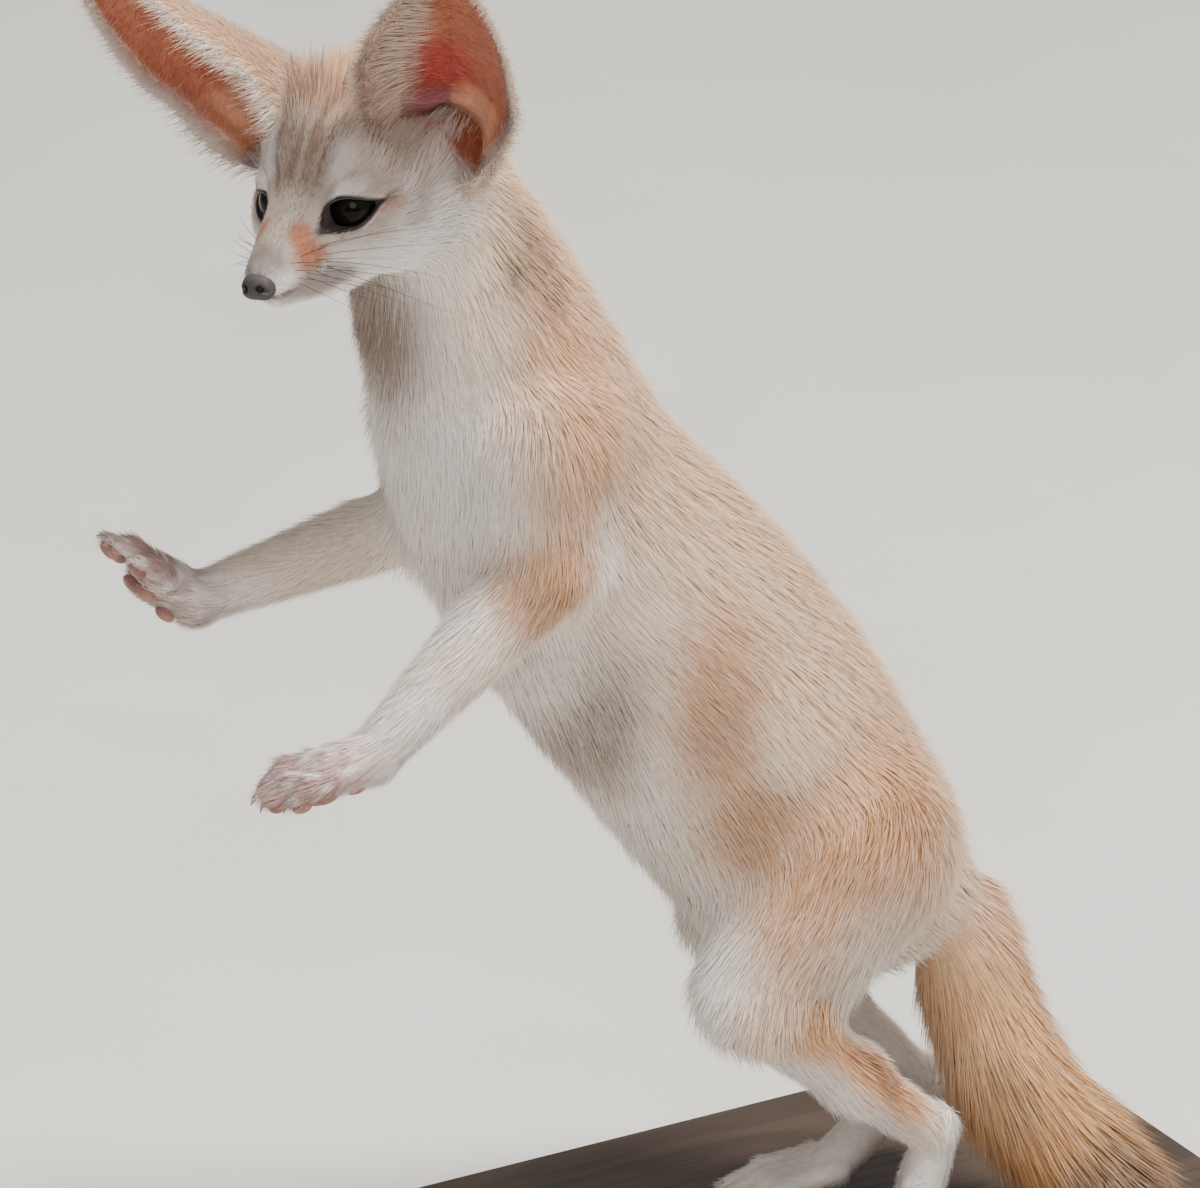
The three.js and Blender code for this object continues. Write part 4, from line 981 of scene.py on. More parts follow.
def skin_material(name):
    """Short hair lying flat: fine streaks along the lie of the coat over the markings, their dark parts painted
    shade between the hairs.
    """
    material, tree, shader = new_material(name, Roughness=0.82, Sheen_Weight=0.08, Sheen_Roughness=0.5)
    tone = attribute(tree, "tone")
    grain = attribute(tree, "grain", "Vector")
    fine = noise_node(tree, grain, 1500.0, 3.0, 0.6)
    broad = noise_node(tree, grain, 320.0, 2.0)
    # A darker copy of the markings as painted shade between the hairs: the fine streaks follow the grain, the
    # broad patches darken it further
    dark = mix_colour(tree, 1.0, tone, (0.84, 0.80, 0.77), "MULTIPLY")
    streaked = mix_colour(tree, ranged(tree, fine, 0.3, 0.62), dark, tone)
    patchy = mix_colour(tree, ranged(tree, broad, 0.35, 0.7, 0.0, 0.35), streaked, dark)
    tree.links.new(patchy, shader.inputs["Base Color"])
    height = maths(tree, "ADD", fine, maths(tree, "MULTIPLY", broad, 0.6))
    bump(tree, shader, height, 0.55, 0.0006)
    return material


def coat_material(name, look, root_dark=(0.90, 0.87, 0.84)):
    """Hair: darker at the root, each tuft a little lighter or browner than the next, with dark flecks."""
    material, tree, shader = new_material(name, Roughness=0.72, Sheen_Weight=0.15, Sheen_Roughness=0.45)
    shader.inputs["Specular IOR Level"].default_value = 0.3
    tone = attribute(tree, "tone")
    along = attribute(tree, "along", "Fac")
    shade = attribute(tree, "shade", "Fac")
    fleck = attribute(tree, "fleck", "Fac")
    root = mix_colour(tree, 1.0, tone, root_dark, "MULTIPLY")
    lengthwise = mix_colour(tree, ranged(tree, along, 0.0, 0.55), root, tone)
    browner = mix_colour(tree, 1.0, lengthwise, (0.86, 0.79, 0.72), "MULTIPLY")
    varied = mix_colour(tree, ranged(tree, shade, 0.45, 1.0, 0.0, 0.6), lengthwise, browner)
    lighter = mix_colour(tree, ranged(tree, shade, 0.35, 0.0, 0.0, 0.22), varied, (1.0, 0.97, 0.93))
    chosen = ranged(tree, maths(tree, "SUBTRACT", fleck, shade), 0.0, 0.12)
    tipped = maths(tree, "MULTIPLY", chosen, ranged(tree, along, 0.1, 0.5, 0.35, 0.85))
    flecked = mix_colour(tree, tipped, lighter, dimmed(look.brown, 0.7))
    mottle = noise_node(tree, object_place(tree), 420.0, 2.0)
    darker = mix_colour(tree, 1.0, flecked, (0.88, 0.85, 0.82), "MULTIPLY")
    tinted = mix_colour(tree, ranged(tree, mottle, 0.4, 0.7, 0.0, 0.6), flecked, darker)
    tree.links.new(tinted, shader.inputs["Base Color"])
    return material


def fleck_share(p, weights):
    """Share of dark-tipped hairs: most on the forehead and the neck, few on the back, none below."""
    q = to_head(p)
    m = np.abs(q[:, 1])
    w1 = noise(p, 9, 41)
    head = smooth(0.4, 0.9, weights[-1])
    forehead, lines = forehead_streaks(q)
    out = head * forehead * (0.30 + 0.30 * lines)
    bridge = smooth(-4, 4, q[:, 0]) * smooth(8, 4, m) * smooth(-9, -4, q[:, 2])
    out = np.maximum(out, head * bridge * 0.30)
    out = np.maximum(out, head * 0.14 * crown_share(q))
    mirrored = np.stack([np.abs(p[:, 0]), p[:, 1], p[:, 2]], 1)
    neck = spot(mirrored, (27, -104, 390), (10, 12, 17), 0.4 * w1)
    out = np.maximum(out, 0.35 * neck * (1 - head))
    back = smooth(0.3, 0.9, spine_place(p)) * (1 - head)
    out = np.maximum(out, (0.05 + 0.04 * w1) * back)
    tail = sum(w for w, name in zip(weights, PART_NAMES) if name == "tail")
    return np.maximum(out, tail * (0.10 + 0.35 * smooth(50, 80, p[:, 0])))


# The coat, set over the skin by Geometry Nodes
def spike_mesh():
    """A thin closed hair, one unit long: a three-sided spike, 4 faces."""
    points = np.array([(0, -0.5, 0), (0, 0.5, 0), (0.28, 0, 0.06), (-0.02, 0, 1)]) / MM
    mesh = plain_mesh("hair", points, [(0, 1, 2), (0, 3, 1), (1, 3, 2), (2, 3, 0)])
    give(mesh, "along", "FLOAT", "POINT", [0, 0, 0.05, 1])
    give(mesh, "aside", "FLOAT", "POINT", [-0.5, 0.5, 0, 0])
    return mesh


def coat_tree():
    """Roots hairs on one region of a skin, leaning along its lie."""
    tree = bpy.data.node_groups.new("Coat", "GeometryNodeTree")
    tree.is_modifier = True
    face = tree.interface
    face.new_socket("Geometry", in_out="INPUT", socket_type="NodeSocketGeometry")
    for name, kind in (("Hair", "Object"), ("Region", "Int"), ("Density", "Float"), ("Length", "Float"),
                       ("Width", "Float"), ("Scatter", "Float"), ("Seed", "Int"), ("Material", "Material")):
        face.new_socket(name, in_out="INPUT", socket_type="NodeSocket" + kind)
    face.new_socket("Geometry", in_out="OUTPUT", socket_type="NodeSocketGeometry")
    given = tree.nodes.new("NodeGroupInput").outputs

    def named(name, kind):
        node = node_in(tree, "GeometryNodeInputNamedAttribute", {"Name": name}, data_type=kind)
        return node.outputs["Attribute"]

    def sums(operation, *values):
        node = node_in(tree, "ShaderNodeMath", dict(enumerate(values)), operation=operation)
        return node.outputs[0]

    def vectors(operation, a, b=None, scale=None):
        node = tree.nodes.new("ShaderNodeVectorMath")
        node.operation = operation
        tree.links.new(a, node.inputs[0])
        if b is not None:
            tree.links.new(b, node.inputs[1])
        if scale is not None:
            tree.links.new(scale, node.inputs["Scale"])
        return node.outputs[0]

    def random(kind, low, high, offset):
        node = tree.nodes.new("FunctionNodeRandomValue")
        node.data_type = kind
        names = [s for s in node.inputs if s.enabled and s.name in ("Min", "Max")]
        names[0].default_value = low
        names[1].default_value = high
        seed = sums("ADD", given["Seed"], offset)
        tree.links.new(seed, next(s for s in node.inputs if s.name == "Seed"))
        return next(s for s in node.outputs if s.enabled)

    def stored(geometry, name, kind, domain, value):
        store = tree.nodes.new("GeometryNodeStoreNamedAttribute")
        store.data_type, store.domain = kind, domain
        store.inputs["Name"].default_value = name
        tree.links.new(geometry, store.inputs["Geometry"])
        tree.links.new(value, next(s for s in store.inputs if s.name == "Value" and s.enabled))
        return store.outputs[0]

    here = node_in(tree, "FunctionNodeCompare", data_type="INT", operation="EQUAL")
    pair = [s for s in here.inputs if s.enabled]
    tree.links.new(named("region", "INT"), pair[0])
    tree.links.new(given["Region"], pair[1])
    hair = node_in(tree, "ShaderNodeSeparateXYZ", {0: named("hair", "FLOAT_VECTOR")}).outputs
    spread = node_in(tree, "GeometryNodeDistributePointsOnFaces", {
        "Mesh": given["Geometry"],
        "Selection": here.outputs[0],
        "Density": sums("MULTIPLY", given["Density"], named("density", "FLOAT")),
        "Seed": given["Seed"],
    }, distribute_method="RANDOM")
    normal = spread.outputs["Normal"]
    astray = vectors("SCALE", random("FLOAT_VECTOR", (-1, -1, -1), (1, 1, 1), 1), scale=given["Scatter"])
    lifted = vectors("SCALE", normal, scale=hair[2])
    lean = vectors("ADD", vectors("ADD", named("lie", "FLOAT_VECTOR"), lifted), astray)
    turn = tree.nodes.new("FunctionNodeAxesToRotation")
    turn.primary_axis, turn.secondary_axis = "Z", "X"
    tree.links.new(vectors("NORMALIZE", lean), turn.inputs[0])
    tree.links.new(normal, turn.inputs[1])
    width = sums("MULTIPLY", sums("MULTIPLY", hair[1], given["Width"]), random("FLOAT", 0.75, 1.25, 3))
    length = sums("MULTIPLY", sums("MULTIPLY", hair[0], given["Length"]), random("FLOAT", 0.65, 1.15, 2))
    size = node_in(tree, "ShaderNodeCombineXYZ", {0: width, 1: width, 2: length}).outputs[0]
    source = node_in(tree, "GeometryNodeObjectInfo", {"Object": given["Hair"]}).outputs["Geometry"]
    roots = stored(spread.outputs["Points"], "root", "FLOAT_VECTOR", "POINT", normal)
    planted = node_in(tree, "GeometryNodeInstanceOnPoints", {
        "Points": roots, "Instance": source, "Rotation": turn.outputs[0], "Scale": size,
    }).outputs[0]
    shaded = stored(planted, "shade", "FLOAT", "INSTANCE", random("FLOAT", 0.0, 1.0, 4))
    real = node_in(tree, "GeometryNodeRealizeInstances", {"Geometry": shaded}).outputs[0]
    finished = node_in(tree, "GeometryNodeSetMaterial", {"Geometry": real, "Material": given["Material"]})
    tree.links.new(finished.outputs[0], tree.nodes.new("NodeGroupOutput").inputs[0])
    return tree


def made_by_tree(name, source, tree, values):
    """Runs a tree on an object with the named inputs and returns its result as a plain mesh."""
    modifier = source.modifiers.new(name, "NODES")
    modifier.node_group = tree
    for socket in tree.interface.items_tree:
        if socket.in_out == "INPUT" and socket.name in values:
            modifier[socket.identifier] = values[socket.name]
    depsgraph = bpy.context.evaluated_depsgraph_get()
    evaluated = source.evaluated_get(depsgraph)
    mesh = bpy.data.meshes.new_from_object(evaluated, preserve_all_data_layers=True, depsgraph=depsgraph)
    mesh.name = name
    source.modifiers.remove(modifier)
    return mesh


def hair_weight(mesh, region):
    """How many hairs one region takes for each unit of density."""
    count = len(mesh.polygons)
    area = np.zeros(count, np.float32)
    mesh.polygons.foreach_get("area", area)
    corners = np.zeros(count * 3, np.int32)
    mesh.loops.foreach_get("vertex_index", corners)
    density = taken(mesh, "density", 1)[corners.reshape(-1, 3)].mean(1)
    return float((area * density * (taken(mesh, "region", 1) == region)).sum())


def grow_coat(name, skin, region, tree, template, count, seed, material, scatter, soften, thin=1.0):
    """One piece of the coat: hairs on a region of the skin, with their map and soft shading."""
    weight = hair_weight(skin.data, region)
    if weight <= 0:
        raise RuntimeError(f"no skin for {name}")
    values = {"Hair": template, "Region": region, "Density": count / weight, "Length": 1.0, "Width": thin}
    values.update({"Scatter": scatter, "Seed": seed, "Material": material})
    mesh = made_by_tree(name, skin, tree, values)
    root = taken(mesh, "root", 3)
    chart = taken(mesh, "chart", 2)
    along, aside = taken(mesh, "along", 1), taken(mesh, "aside", 1)
    place = chart + np.stack([aside * 0.0022, (along - 0.5) * 0.003], 1)
    corners = np.zeros(len(mesh.loops), np.int32)
    mesh.loops.foreach_get("vertex_index", corners)
    layer = mesh.uv_layers.new(name="OFBake")
    layer.uv.foreach_set("vector", place[corners].astype(np.float32).reshape(-1))
    mesh.polygons.foreach_set("use_smooth", np.full(len(mesh.polygons), soften > 0))
    if soften > 0:
        own = np.zeros(len(mesh.polygons) * 3, np.float32)
        mesh.polygons.foreach_get("normal", own)
        own = np.repeat(own.reshape(-1, 3), 3, axis=0)
        outward = root[corners]
        # A side that faces the skin keeps its own normal, or it would turn black
        share = (soften * smooth(-0.2, 0.4, (own * outward).sum(1)))[:, None]
        mesh.normals_split_custom_set(unit(own * (1 - share) + outward * share).tolist())
    for extra in ("lie", "hair", "density", "grain", "root", "chart", "aside", "region"):
        if extra in mesh.attributes:
            mesh.attributes.remove(mesh.attributes[extra])
    if len(mesh.polygons) > MOST_FACES:
        raise RuntimeError(f"{name} has {len(mesh.polygons)} faces")
    obj = shown(name, mesh)
    return settle(obj, "coat")


def build_skin_tables():
    """Points and triangles of the skin, fine on the head and feet."""
    low = (-66, -236, FLOOR - 5)
    high = (112, 122, 452)
    points, triangles = surface_net(skin_field, low, high, 2.4)
    points = onto_surface(skin_field, points, 1.0, 2)

    def near_head(p):
        q = to_head(p)
        return (q[:, 0] > -46) & (((p - HEAD_AT) ** 2).sum(1) < 66**2)

    def near_paws(p):
        feet = [leg["paw"] for leg in FORE.values()] + [leg["foot"] for leg in HIND.values()]
        middles = [(np.array(foot["ball"], float) + np.array(foot["tip"], float)) / 2 for foot in feet]
        return np.min([((p - c) ** 2).sum(1) for c in middles], axis=0) < 27**2

    def near_eyes(p):
        return np.min([((p - eye_axes(s)[0]) ** 2).sum(1) for s in (1, -1)], axis=0) < 13.5**2

    def near_details(p):
        return near_eyes(p) | (lip_distance(p) < 3)

    points, triangles = refined(points, triangles, near_head(points) | near_paws(points))
    points = onto_surface(skin_field, points, 0.6, 2)
    points, triangles = refined(points, triangles, near_details(points))
    points = onto_surface(skin_field, points, 0.4, 2)
    points, triangles = refined(points, triangles, near_eyes(points))
    points = onto_surface(skin_field, points, 0.3, 2)
    points[:, 2] = np.maximum(points[:, 2], FLOOR)
    return points, triangles


def bare_share(p):
    """1 where no hair grows: lids, lips, under the nose and in the ears."""
    out = smooth(1.9, 0.9, lip_distance(p))
    on_nose = (nose_place(p) - NOSE_AT) / (NOSE_RADII + 0.6)
    out = np.maximum(out, 1 - smooth(1.0, 1.25, np.linalg.norm(on_nose, axis=1)))
    for side in (1, -1):
        centre, axes = eye_axes(side)
        e = (p - centre) @ axes.T
        edge = eye_opening(e, side) + np.where(e[:, 0] > 0, 0, 20)
        near = np.linalg.norm(e, axis=1) < 16
        out = np.maximum(out, np.where(near, smooth(2.3, 1.3, edge), 0))
        out = np.maximum(out, smooth(0.4, -0.8, ear_hollow(p, side)))
    return out


def build_skin(look, sizes):
    """The skin's mesh with all that the coat's tree and the materials read from it."""
    points, triangles = build_skin_tables()
    normals, face = normals_of(points, triangles)
    weights, depth, length, lie, grain = coat_plan(points)
    flow = tangent(unit(lie + 0.02 * normals), normals)
    flow = flow + 0.16 * noise_vector(points, 14, 51) + 0.07 * noise_vector(points, 5, 61)
    flow = tangent(flow, normals)
    length = length * sizes.length * (1 + 0.12 * noise(points, 11, 71))
    on_head = smooth(0.5, 0.9, weights[-1])
    for side in (1, -1):
        near_ear = smooth(8, 2, ear_hollow(points, side)) * on_head
        length = length + 5.0 * near_ear
        flow = flow + 1.3 * near_ear[:, None] * ear_axes(side)[1][0]
    flow = tangent(flow, normals)
    width = (0.16 + 0.029 * length) * sizes.thickness
    lift = np.tan(np.arcsin(np.clip(0.85 * depth / length, 0.05, 0.7)))
    crown = crown_share(to_head(points)) * on_head
    lift = lift + 0.75 * crown
    width = width * (1 + 0.35 * crown)
    middles = points[triangles].mean(1)
    region = region_of(middles, link_weights(body_forms(middles)[1]))
    q = to_head(points)
    front = smooth(-24, 6, q[:, 0]) * on_head
    density = (1 / (length * width)) * (1 - bare_share(points)) * (1 + 0.8 * front)
    density = density * (points[:, 2] > FLOOR + 1.5)
    toes = weights[[i for i, n in enumerate(PART_NAMES) if n in ("forepaw", "foot")]].sum(0)
    sole = np.zeros(len(points))
    for leg in FORE.values():
        ball, tip = np.array(leg["paw"]["ball"], float), np.array(leg["paw"]["tip"], float)
        up = axes_of(tip - ball, leg["paw"]["up"])[2]
        near = (((points - (ball + tip) / 2) ** 2).sum(1) < 24**2) & (normals @ up < -0.35)
        sole = np.maximum(sole, near.astype(float))
    density = density * (1 - 0.3 * sole * toes)
    mesh = plain_mesh("skin", points, triangles)
    give(mesh, "lie", "FLOAT_VECTOR", "POINT", flow)
    give(mesh, "hair", "FLOAT_VECTOR", "POINT", np.stack([length * MM, width * MM, lift], 1))
    give(mesh, "density", "FLOAT", "POINT", density)
    give(mesh, "grain", "FLOAT_VECTOR", "POINT", grain * MM)
    give(mesh, "fleck", "FLOAT", "POINT", fleck_share(points, weights))
    tone = body_tones(points, weights, look)
    tone = mixed(tone, look.pink, 0.35 * sole * toes)
    give(mesh, "tone", "FLOAT_COLOR", "POINT", tone)
    give(mesh, "region", "INT", "FACE", region)
    give(mesh, "chart", "FLOAT2", "CORNER", box_unwrap(points, triangles, unit(face), region))
    return mesh


# The ears
def ear_point(side, u, v, inset):
    root, axes = ear_axes(side)
    radius, bend_angle, back = ear_section(v)
    angle = u * bend_angle
    r = radius - inset
    local = np.stack([v * EAR["length"], r * np.sin(angle), back + radius - r * np.cos(angle)], -1)
    return root + local @ axes


def build_ear(side):
    """A thin shell: furred back, bare cup with its folds, and a rounded rim."""
    across, up = 56, 60
    u = np.linspace(-1, 1, across + 1)
    v = 1 - (1 - np.linspace(0, 1, up + 1)) ** 1.3
    v = 1.125 * v - 0.14
    uu, vv = np.meshgrid(u, v)
    medial = side
    above, below = np.maximum(vv, 0), np.maximum(-vv, 0)
    swell = 6.0 * (1 - above) ** 1.5 * np.cos(uu * math.pi / 2) - 65 * below
    outer = ear_point(side, uu, vv, -swell + 1.2)
    wall = EAR["wall"] * (1 - 0.55 * above) * (0.45 + 0.55 * (1 - uu**6))
    m = uu * medial
    ridge = 2.8 * np.exp(-(((vv - 0.15 - 0.03 * m) / 0.030) ** 2)) * np.exp(-((m - 0.05) / 0.45) ** 2)
    ridge += 1.6 * np.exp(-(((vv - 0.22) / 0.020) ** 2)) * np.exp(-((m - 0.15) / 0.35) ** 2)
    fold = 1.5 * np.exp(-(((m - 0.52 + 0.25 * vv) / 0.09) ** 2)) * smooth(0.75, 0.35, vv)
    fold += 1.3 * np.exp(-(((m + 0.62 - 0.2 * vv) / 0.08) ** 2)) * smooth(0.6, 0.2, vv)
    pouch = 2.6 * np.exp(-(((m + 0.86) / 0.10) ** 2) - ((vv - 0.16) / 0.07) ** 2)
    wedge = 4.5 * np.exp(-((m - 0.30) / 0.22) ** 2) * smooth(0.30, 0.10, vv)
    deep = np.where(vv < 0.05, 0.05 + 0.1 * (vv - 0.05), vv)
    inner = ear_point(side, uu, deep, wall + ridge + fold + pouch + wedge)
    rows, cols = outer.shape[:2]
    points = [outer.reshape(-1, 3), inner.reshape(-1, 3)]
    inside = rows * cols
    canal = ear_point(side, np.zeros(1), np.array([0.05]), 14.0)
    points.append(canal)
    faces = []
    grid = np.arange(inside).reshape(rows, cols)
    a, b, c, d = grid[:-1, :-1], grid[:-1, 1:], grid[1:, 1:], grid[1:, :-1]
    quads = np.stack([a, b, c, d], -1).reshape(-1, 4)
    faces += [quads[:, [0, 1, 2]], quads[:, [0, 2, 3]]]
    back = quads + inside
    faces += [back[:, [2, 1, 0]], back[:, [3, 2, 0]]]
    rim = np.concatenate([grid[:, 0], grid[-1, 1:], grid[::-1, -1][1:]])
    rim_in = rim + inside
    faces.append(np.stack([rim[:-1], rim[1:], rim_in[1:]], 1))
    faces.append(np.stack([rim[:-1], rim_in[1:], rim_in[:-1]], 1))
    low = grid[0]
    faces.append(np.stack([low[:-1] + inside, low[1:] + inside, np.full(cols - 1, 2 * inside)], 1))
    base = np.stack([low[1:], low[:-1], np.full(cols - 1, 2 * inside + 1)], 1)
    points.append(ear_point(side, np.zeros(1), np.array([-0.17]), 13.0))
    faces.append(base)
    gap = [(low[0], low[0] + inside, 2 * inside), (low[0], 2 * inside, 2 * inside + 1)]
    gap += [(low[-1] + inside, low[-1], 2 * inside), (low[-1], 2 * inside + 1, 2 * inside)]
    faces.append(np.array(gap))
    points, faces = np.concatenate(points), np.concatenate(faces)
    normals = normals_of(points, faces)[0]
    if (normals[:inside] * (points[:inside] - points[inside:2 * inside])).sum() < 0:
        faces = faces[:, ::-1].copy()
        normals = -normals
    flat_u = np.concatenate([uu.ravel(), uu.ravel(), [0, 0]])
    flat_v = np.concatenate([vv.ravel(), vv.ravel(), [0, 0]])
    is_in = np.concatenate([np.zeros(inside), np.ones(inside), [1, 0]])
    return points, faces, normals, flat_u, flat_v, is_in


def ear_tones(points, u, v, inside, medial, look):
    """The ear's colours: sandy behind, and inside from the pale fringe to the red cup, with painted shade in
    the canal's opening and painted light on the pouch.
    """
    m = u * medial
    w1, w2 = noise(points, 9, 81), noise(points, 3.5, 87)
    back = np.tile(np.array(look.ear_back), (len(points), 1))
    back = mixed(back, look.sand, 0.5 * smooth(0.1, 0.7, v + 0.2 * w1))
    back = mixed(back, look.cream, 0.5 * smooth(0.30, 0.05, v))
    flat = np.stack([m * 27, v * 86, 0 * m], 1)
    cup = np.tile(np.array(look.ear_pink), (len(points), 1))
    cup = mixed(cup, look.ear_red, 0.9 * spot(flat, (3, 27, 0), (12, 15, 9), 0.3 * w1))
    cup = mixed(cup, look.ear_deep, 0.85 * spot(flat, (4, 9, 0), (14, 10, 9), 0.3 * w1))
    ridge = np.exp(-(((v - 0.15 - 0.03 * m) / 0.024) ** 2)) * np.exp(-((m - 0.05) / 0.4) ** 2)
    cup = mixed(cup, look.ear_pale, 0.7 * ridge)
    # Painted shade: a nearly black band at the opening of the ear canal
    canal_shade_mask = np.exp(-(((v - 0.085) / 0.02) ** 2)) * np.exp(-((m - 0.12) / 0.3) ** 2)
    cup = mixed(cup, look.ear_canal_shade, 0.9 * canal_shade_mask)
    # Painted light: the pouch at the outer edge lightened as if lit
    cup = mixed(cup, look.ear_pouch_painted_light, 0.8 * spot(flat, (-13, 8, 0), (13, 15, 9), 0.3 * w1))
    furry = (0.42, 0.68) if medial > 0 else (0.10, 0.45)
    lining = 0.32 * np.array(look.cream) + 0.46 * np.array(look.ear_back) + 0.22 * np.array(look.grey)
    cup = mixed(cup, lining, 0.9 * smooth(*furry, m + 0.1 * w1))
    cup = mixed(cup, look.white, 0.7 * smooth(0.94, 0.99, m))
    cup = mixed(cup, look.white, 0.7 * smooth(-0.84, -0.96, m))
    cup = mixed(cup, look.white, 0.6 * smooth(0.92, 0.985, v))
    back = mixed(back, look.white, 0.7 * smooth(0.92, 0.99, np.abs(m)))
    tone = back + (cup - back) * inside[:, None]
    return tone * (1 + 0.05 * w1 + 0.04 * w2)[:, None]


EAR_REGIONS = {"back": 1, "lining": 3}
EAR_SHARES = {"back": 0.24, "lining": 0.28}
EAR_SCATTER = 0.26
EAR_SEED = 41


def ear_mesh(side, look):
    """The ear with the lie, length and density of its hair: long over one edge of the cup, short behind."""
    points, faces, normals, u, v, inside = build_ear(side)
    root, axes = ear_axes(side)
    m = u * side
    up = np.broadcast_to(axes[0], points.shape)
    step = 0.02
    ahead = ear_point(side, np.clip(u + step, -1.2, 1.2), v, 0.0)
    out_u = ahead - ear_point(side, np.clip(u - step, -1.2, 1.2), v, 0.0)
    out_u = unit(out_u + 1e-6)
    edge = smooth(0.80, 0.97, np.abs(u)) + smooth(0.93, 0.985, v)
    edge = np.clip(edge, 0, 1)
    lie = np.where(inside[:, None] > 0.5, up * 0.35 - out_u * np.sign(u)[:, None] * 0.75,
                   up + 0.35 * out_u * np.sign(u)[:, None])
    lie = np.where((edge > 0.5)[:, None], up * 0.6 + out_u * np.sign(u)[:, None] * 0.8, lie)
    flow = tangent(unit(lie), normals) + 0.16 * noise_vector(points, 6, 91)
    flow = tangent(flow, normals)
    reach, start = (13.0, 0.38) if side > 0 else (12.0, 0.12)
    long_hair = smooth(start + 0.07, start + 0.42, m) * smooth(0.98, 0.6, v) * smooth(1.05, 0.85, m)
    length = np.where(inside > 0.5, 3.0 + reach * long_hair, 4.5 + 3.0 * (1 - v) + 3.0 * smooth(0.2, 0.0, v))
    length = length + 1.5 * edge * (inside < 0.5)
    width = 0.15 + 0.020 * length
    rise = 0.12 if side > 0 else 0.16
    lift = np.where(inside > 0.5, 0.30 + rise * long_hair, 0.18 + 0.20 * edge)
    hairy = smooth(start, start + 0.28, m) * smooth(0.0, 0.08, v)
    hairy = np.maximum(hairy, 0.8 * smooth(-0.82, -0.93, m))
    hairy = np.maximum(hairy, 0.55 * smooth(0.86, 0.97, v))
    hairy = np.maximum(hairy, 0.9 * np.exp(-((m - 0.30) / 0.25) ** 2) * smooth(0.30, 0.12, v))
    hairy = np.maximum(hairy, 0.04)
    density = np.where(inside > 0.5, hairy, 1.0) / (length * width)
    mesh = plain_mesh("ear", points, faces)
    give(mesh, "lie", "FLOAT_VECTOR", "POINT", flow)
    give(mesh, "hair", "FLOAT_VECTOR", "POINT", np.stack([length * MM, width * MM, lift], 1))
    give(mesh, "density", "FLOAT", "POINT", density)
    local = (points - root) @ axes.T
    give(mesh, "grain", "FLOAT_VECTOR", "POINT", local * (0.2, 1, 1) * MM)
    give(mesh, "tone", "FLOAT_COLOR", "POINT", ear_tones(points, u, v, inside, side, look))
    face_in = inside[faces].mean(1) > 0.99
    give(mesh, "fleck", "FLOAT", "POINT", 0.05 * (1 - inside))
    give(mesh, "region", "INT", "FACE", np.where(face_in, EAR_REGIONS["lining"], EAR_REGIONS["back"]))
    place = np.stack([(u + 1) * 0.235 + 0.015 + 0.5 * inside, (v + 0.2) * 0.8 + 0.02], 1)
    give(mesh, "chart", "FLOAT2", "CORNER", place[faces].reshape(-1, 2))
    return mesh


def ear_material():
    """Thin skin with a soft shine, fine veins and short down, its back like the coat."""
    material, tree, shader = new_material("ear skin", Roughness=0.55, Sheen_Weight=0.25, Sheen_Roughness=0.4)
    tone = attribute(tree, "tone")
    place = object_place(tree)
    mottle = noise_node(tree, place, 160.0, 4.0, 0.6)
    darker = mix_colour(tree, 1.0, tone, (0.72, 0.60, 0.56), "MULTIPLY")
    cells = {"Vector": place, "Scale": 140.0}
    veined = node_in(tree, "ShaderNodeTexVoronoi", cells, feature="DISTANCE_TO_EDGE")
    vein = ranged(tree, veined.outputs["Distance"], 0.0, 0.09, 0.30, 0.0)
    blotched = mix_colour(tree, ranged(tree, mottle, 0.42, 0.66, 0.0, 0.55), tone, darker)
    tree.links.new(mix_colour(tree, vein, blotched, darker), shader.inputs["Base Color"])
    fine = noise_node(tree, attribute(tree, "grain", "Vector"), 1400.0, 2.0)
    bump(tree, shader, maths(tree, "ADD", mottle, fine), 0.35, 0.0005)
    return material


# Eyes, nose, whiskers, claws and pads
def eye_mesh(side):
    """An eyeball with a raised clear front; the attribute disc runs from the pupil's middle to the rim."""
    centre, axes = eye_axes(side)
    turns, rings = 64, 48
    points, faces, disc = [], [], []
    for j in range(rings + 1):
        angle = math.pi * j / rings
        bulge = 0.55 * math.exp(-((angle / 0.62) ** 4))
        for i in range(turns):
            a = 2 * math.pi * i / turns
            ring = math.sin(angle) * EYE["radius"]
            points.append((math.cos(angle) * EYE["radius"] + bulge, math.cos(a) * ring, math.sin(a) * ring))
            disc.append(angle / math.pi)
            if 0 < j < rings:
                continue
            break
    start = [0] + [1 + turns * (j - 1) for j in range(1, rings)] + [1 + turns * (rings - 1)]
    for i in range(turns):
        k = (i + 1) % turns
        faces.append((0, 1 + i, 1 + k))
        for j in range(1, rings - 1):
            a, b = start[j], start[j + 1]
            faces += [(a + i, b + i, b + k), (a + i, b + k, a + k)]
        last = start[rings - 1]
        faces.append((last + i, start[rings], last + k))
    points = centre + np.array(points) @ axes
    mesh = plain_mesh("eye", points, faces)
    give(mesh, "disc", "FLOAT", "POINT", disc)
    return mesh


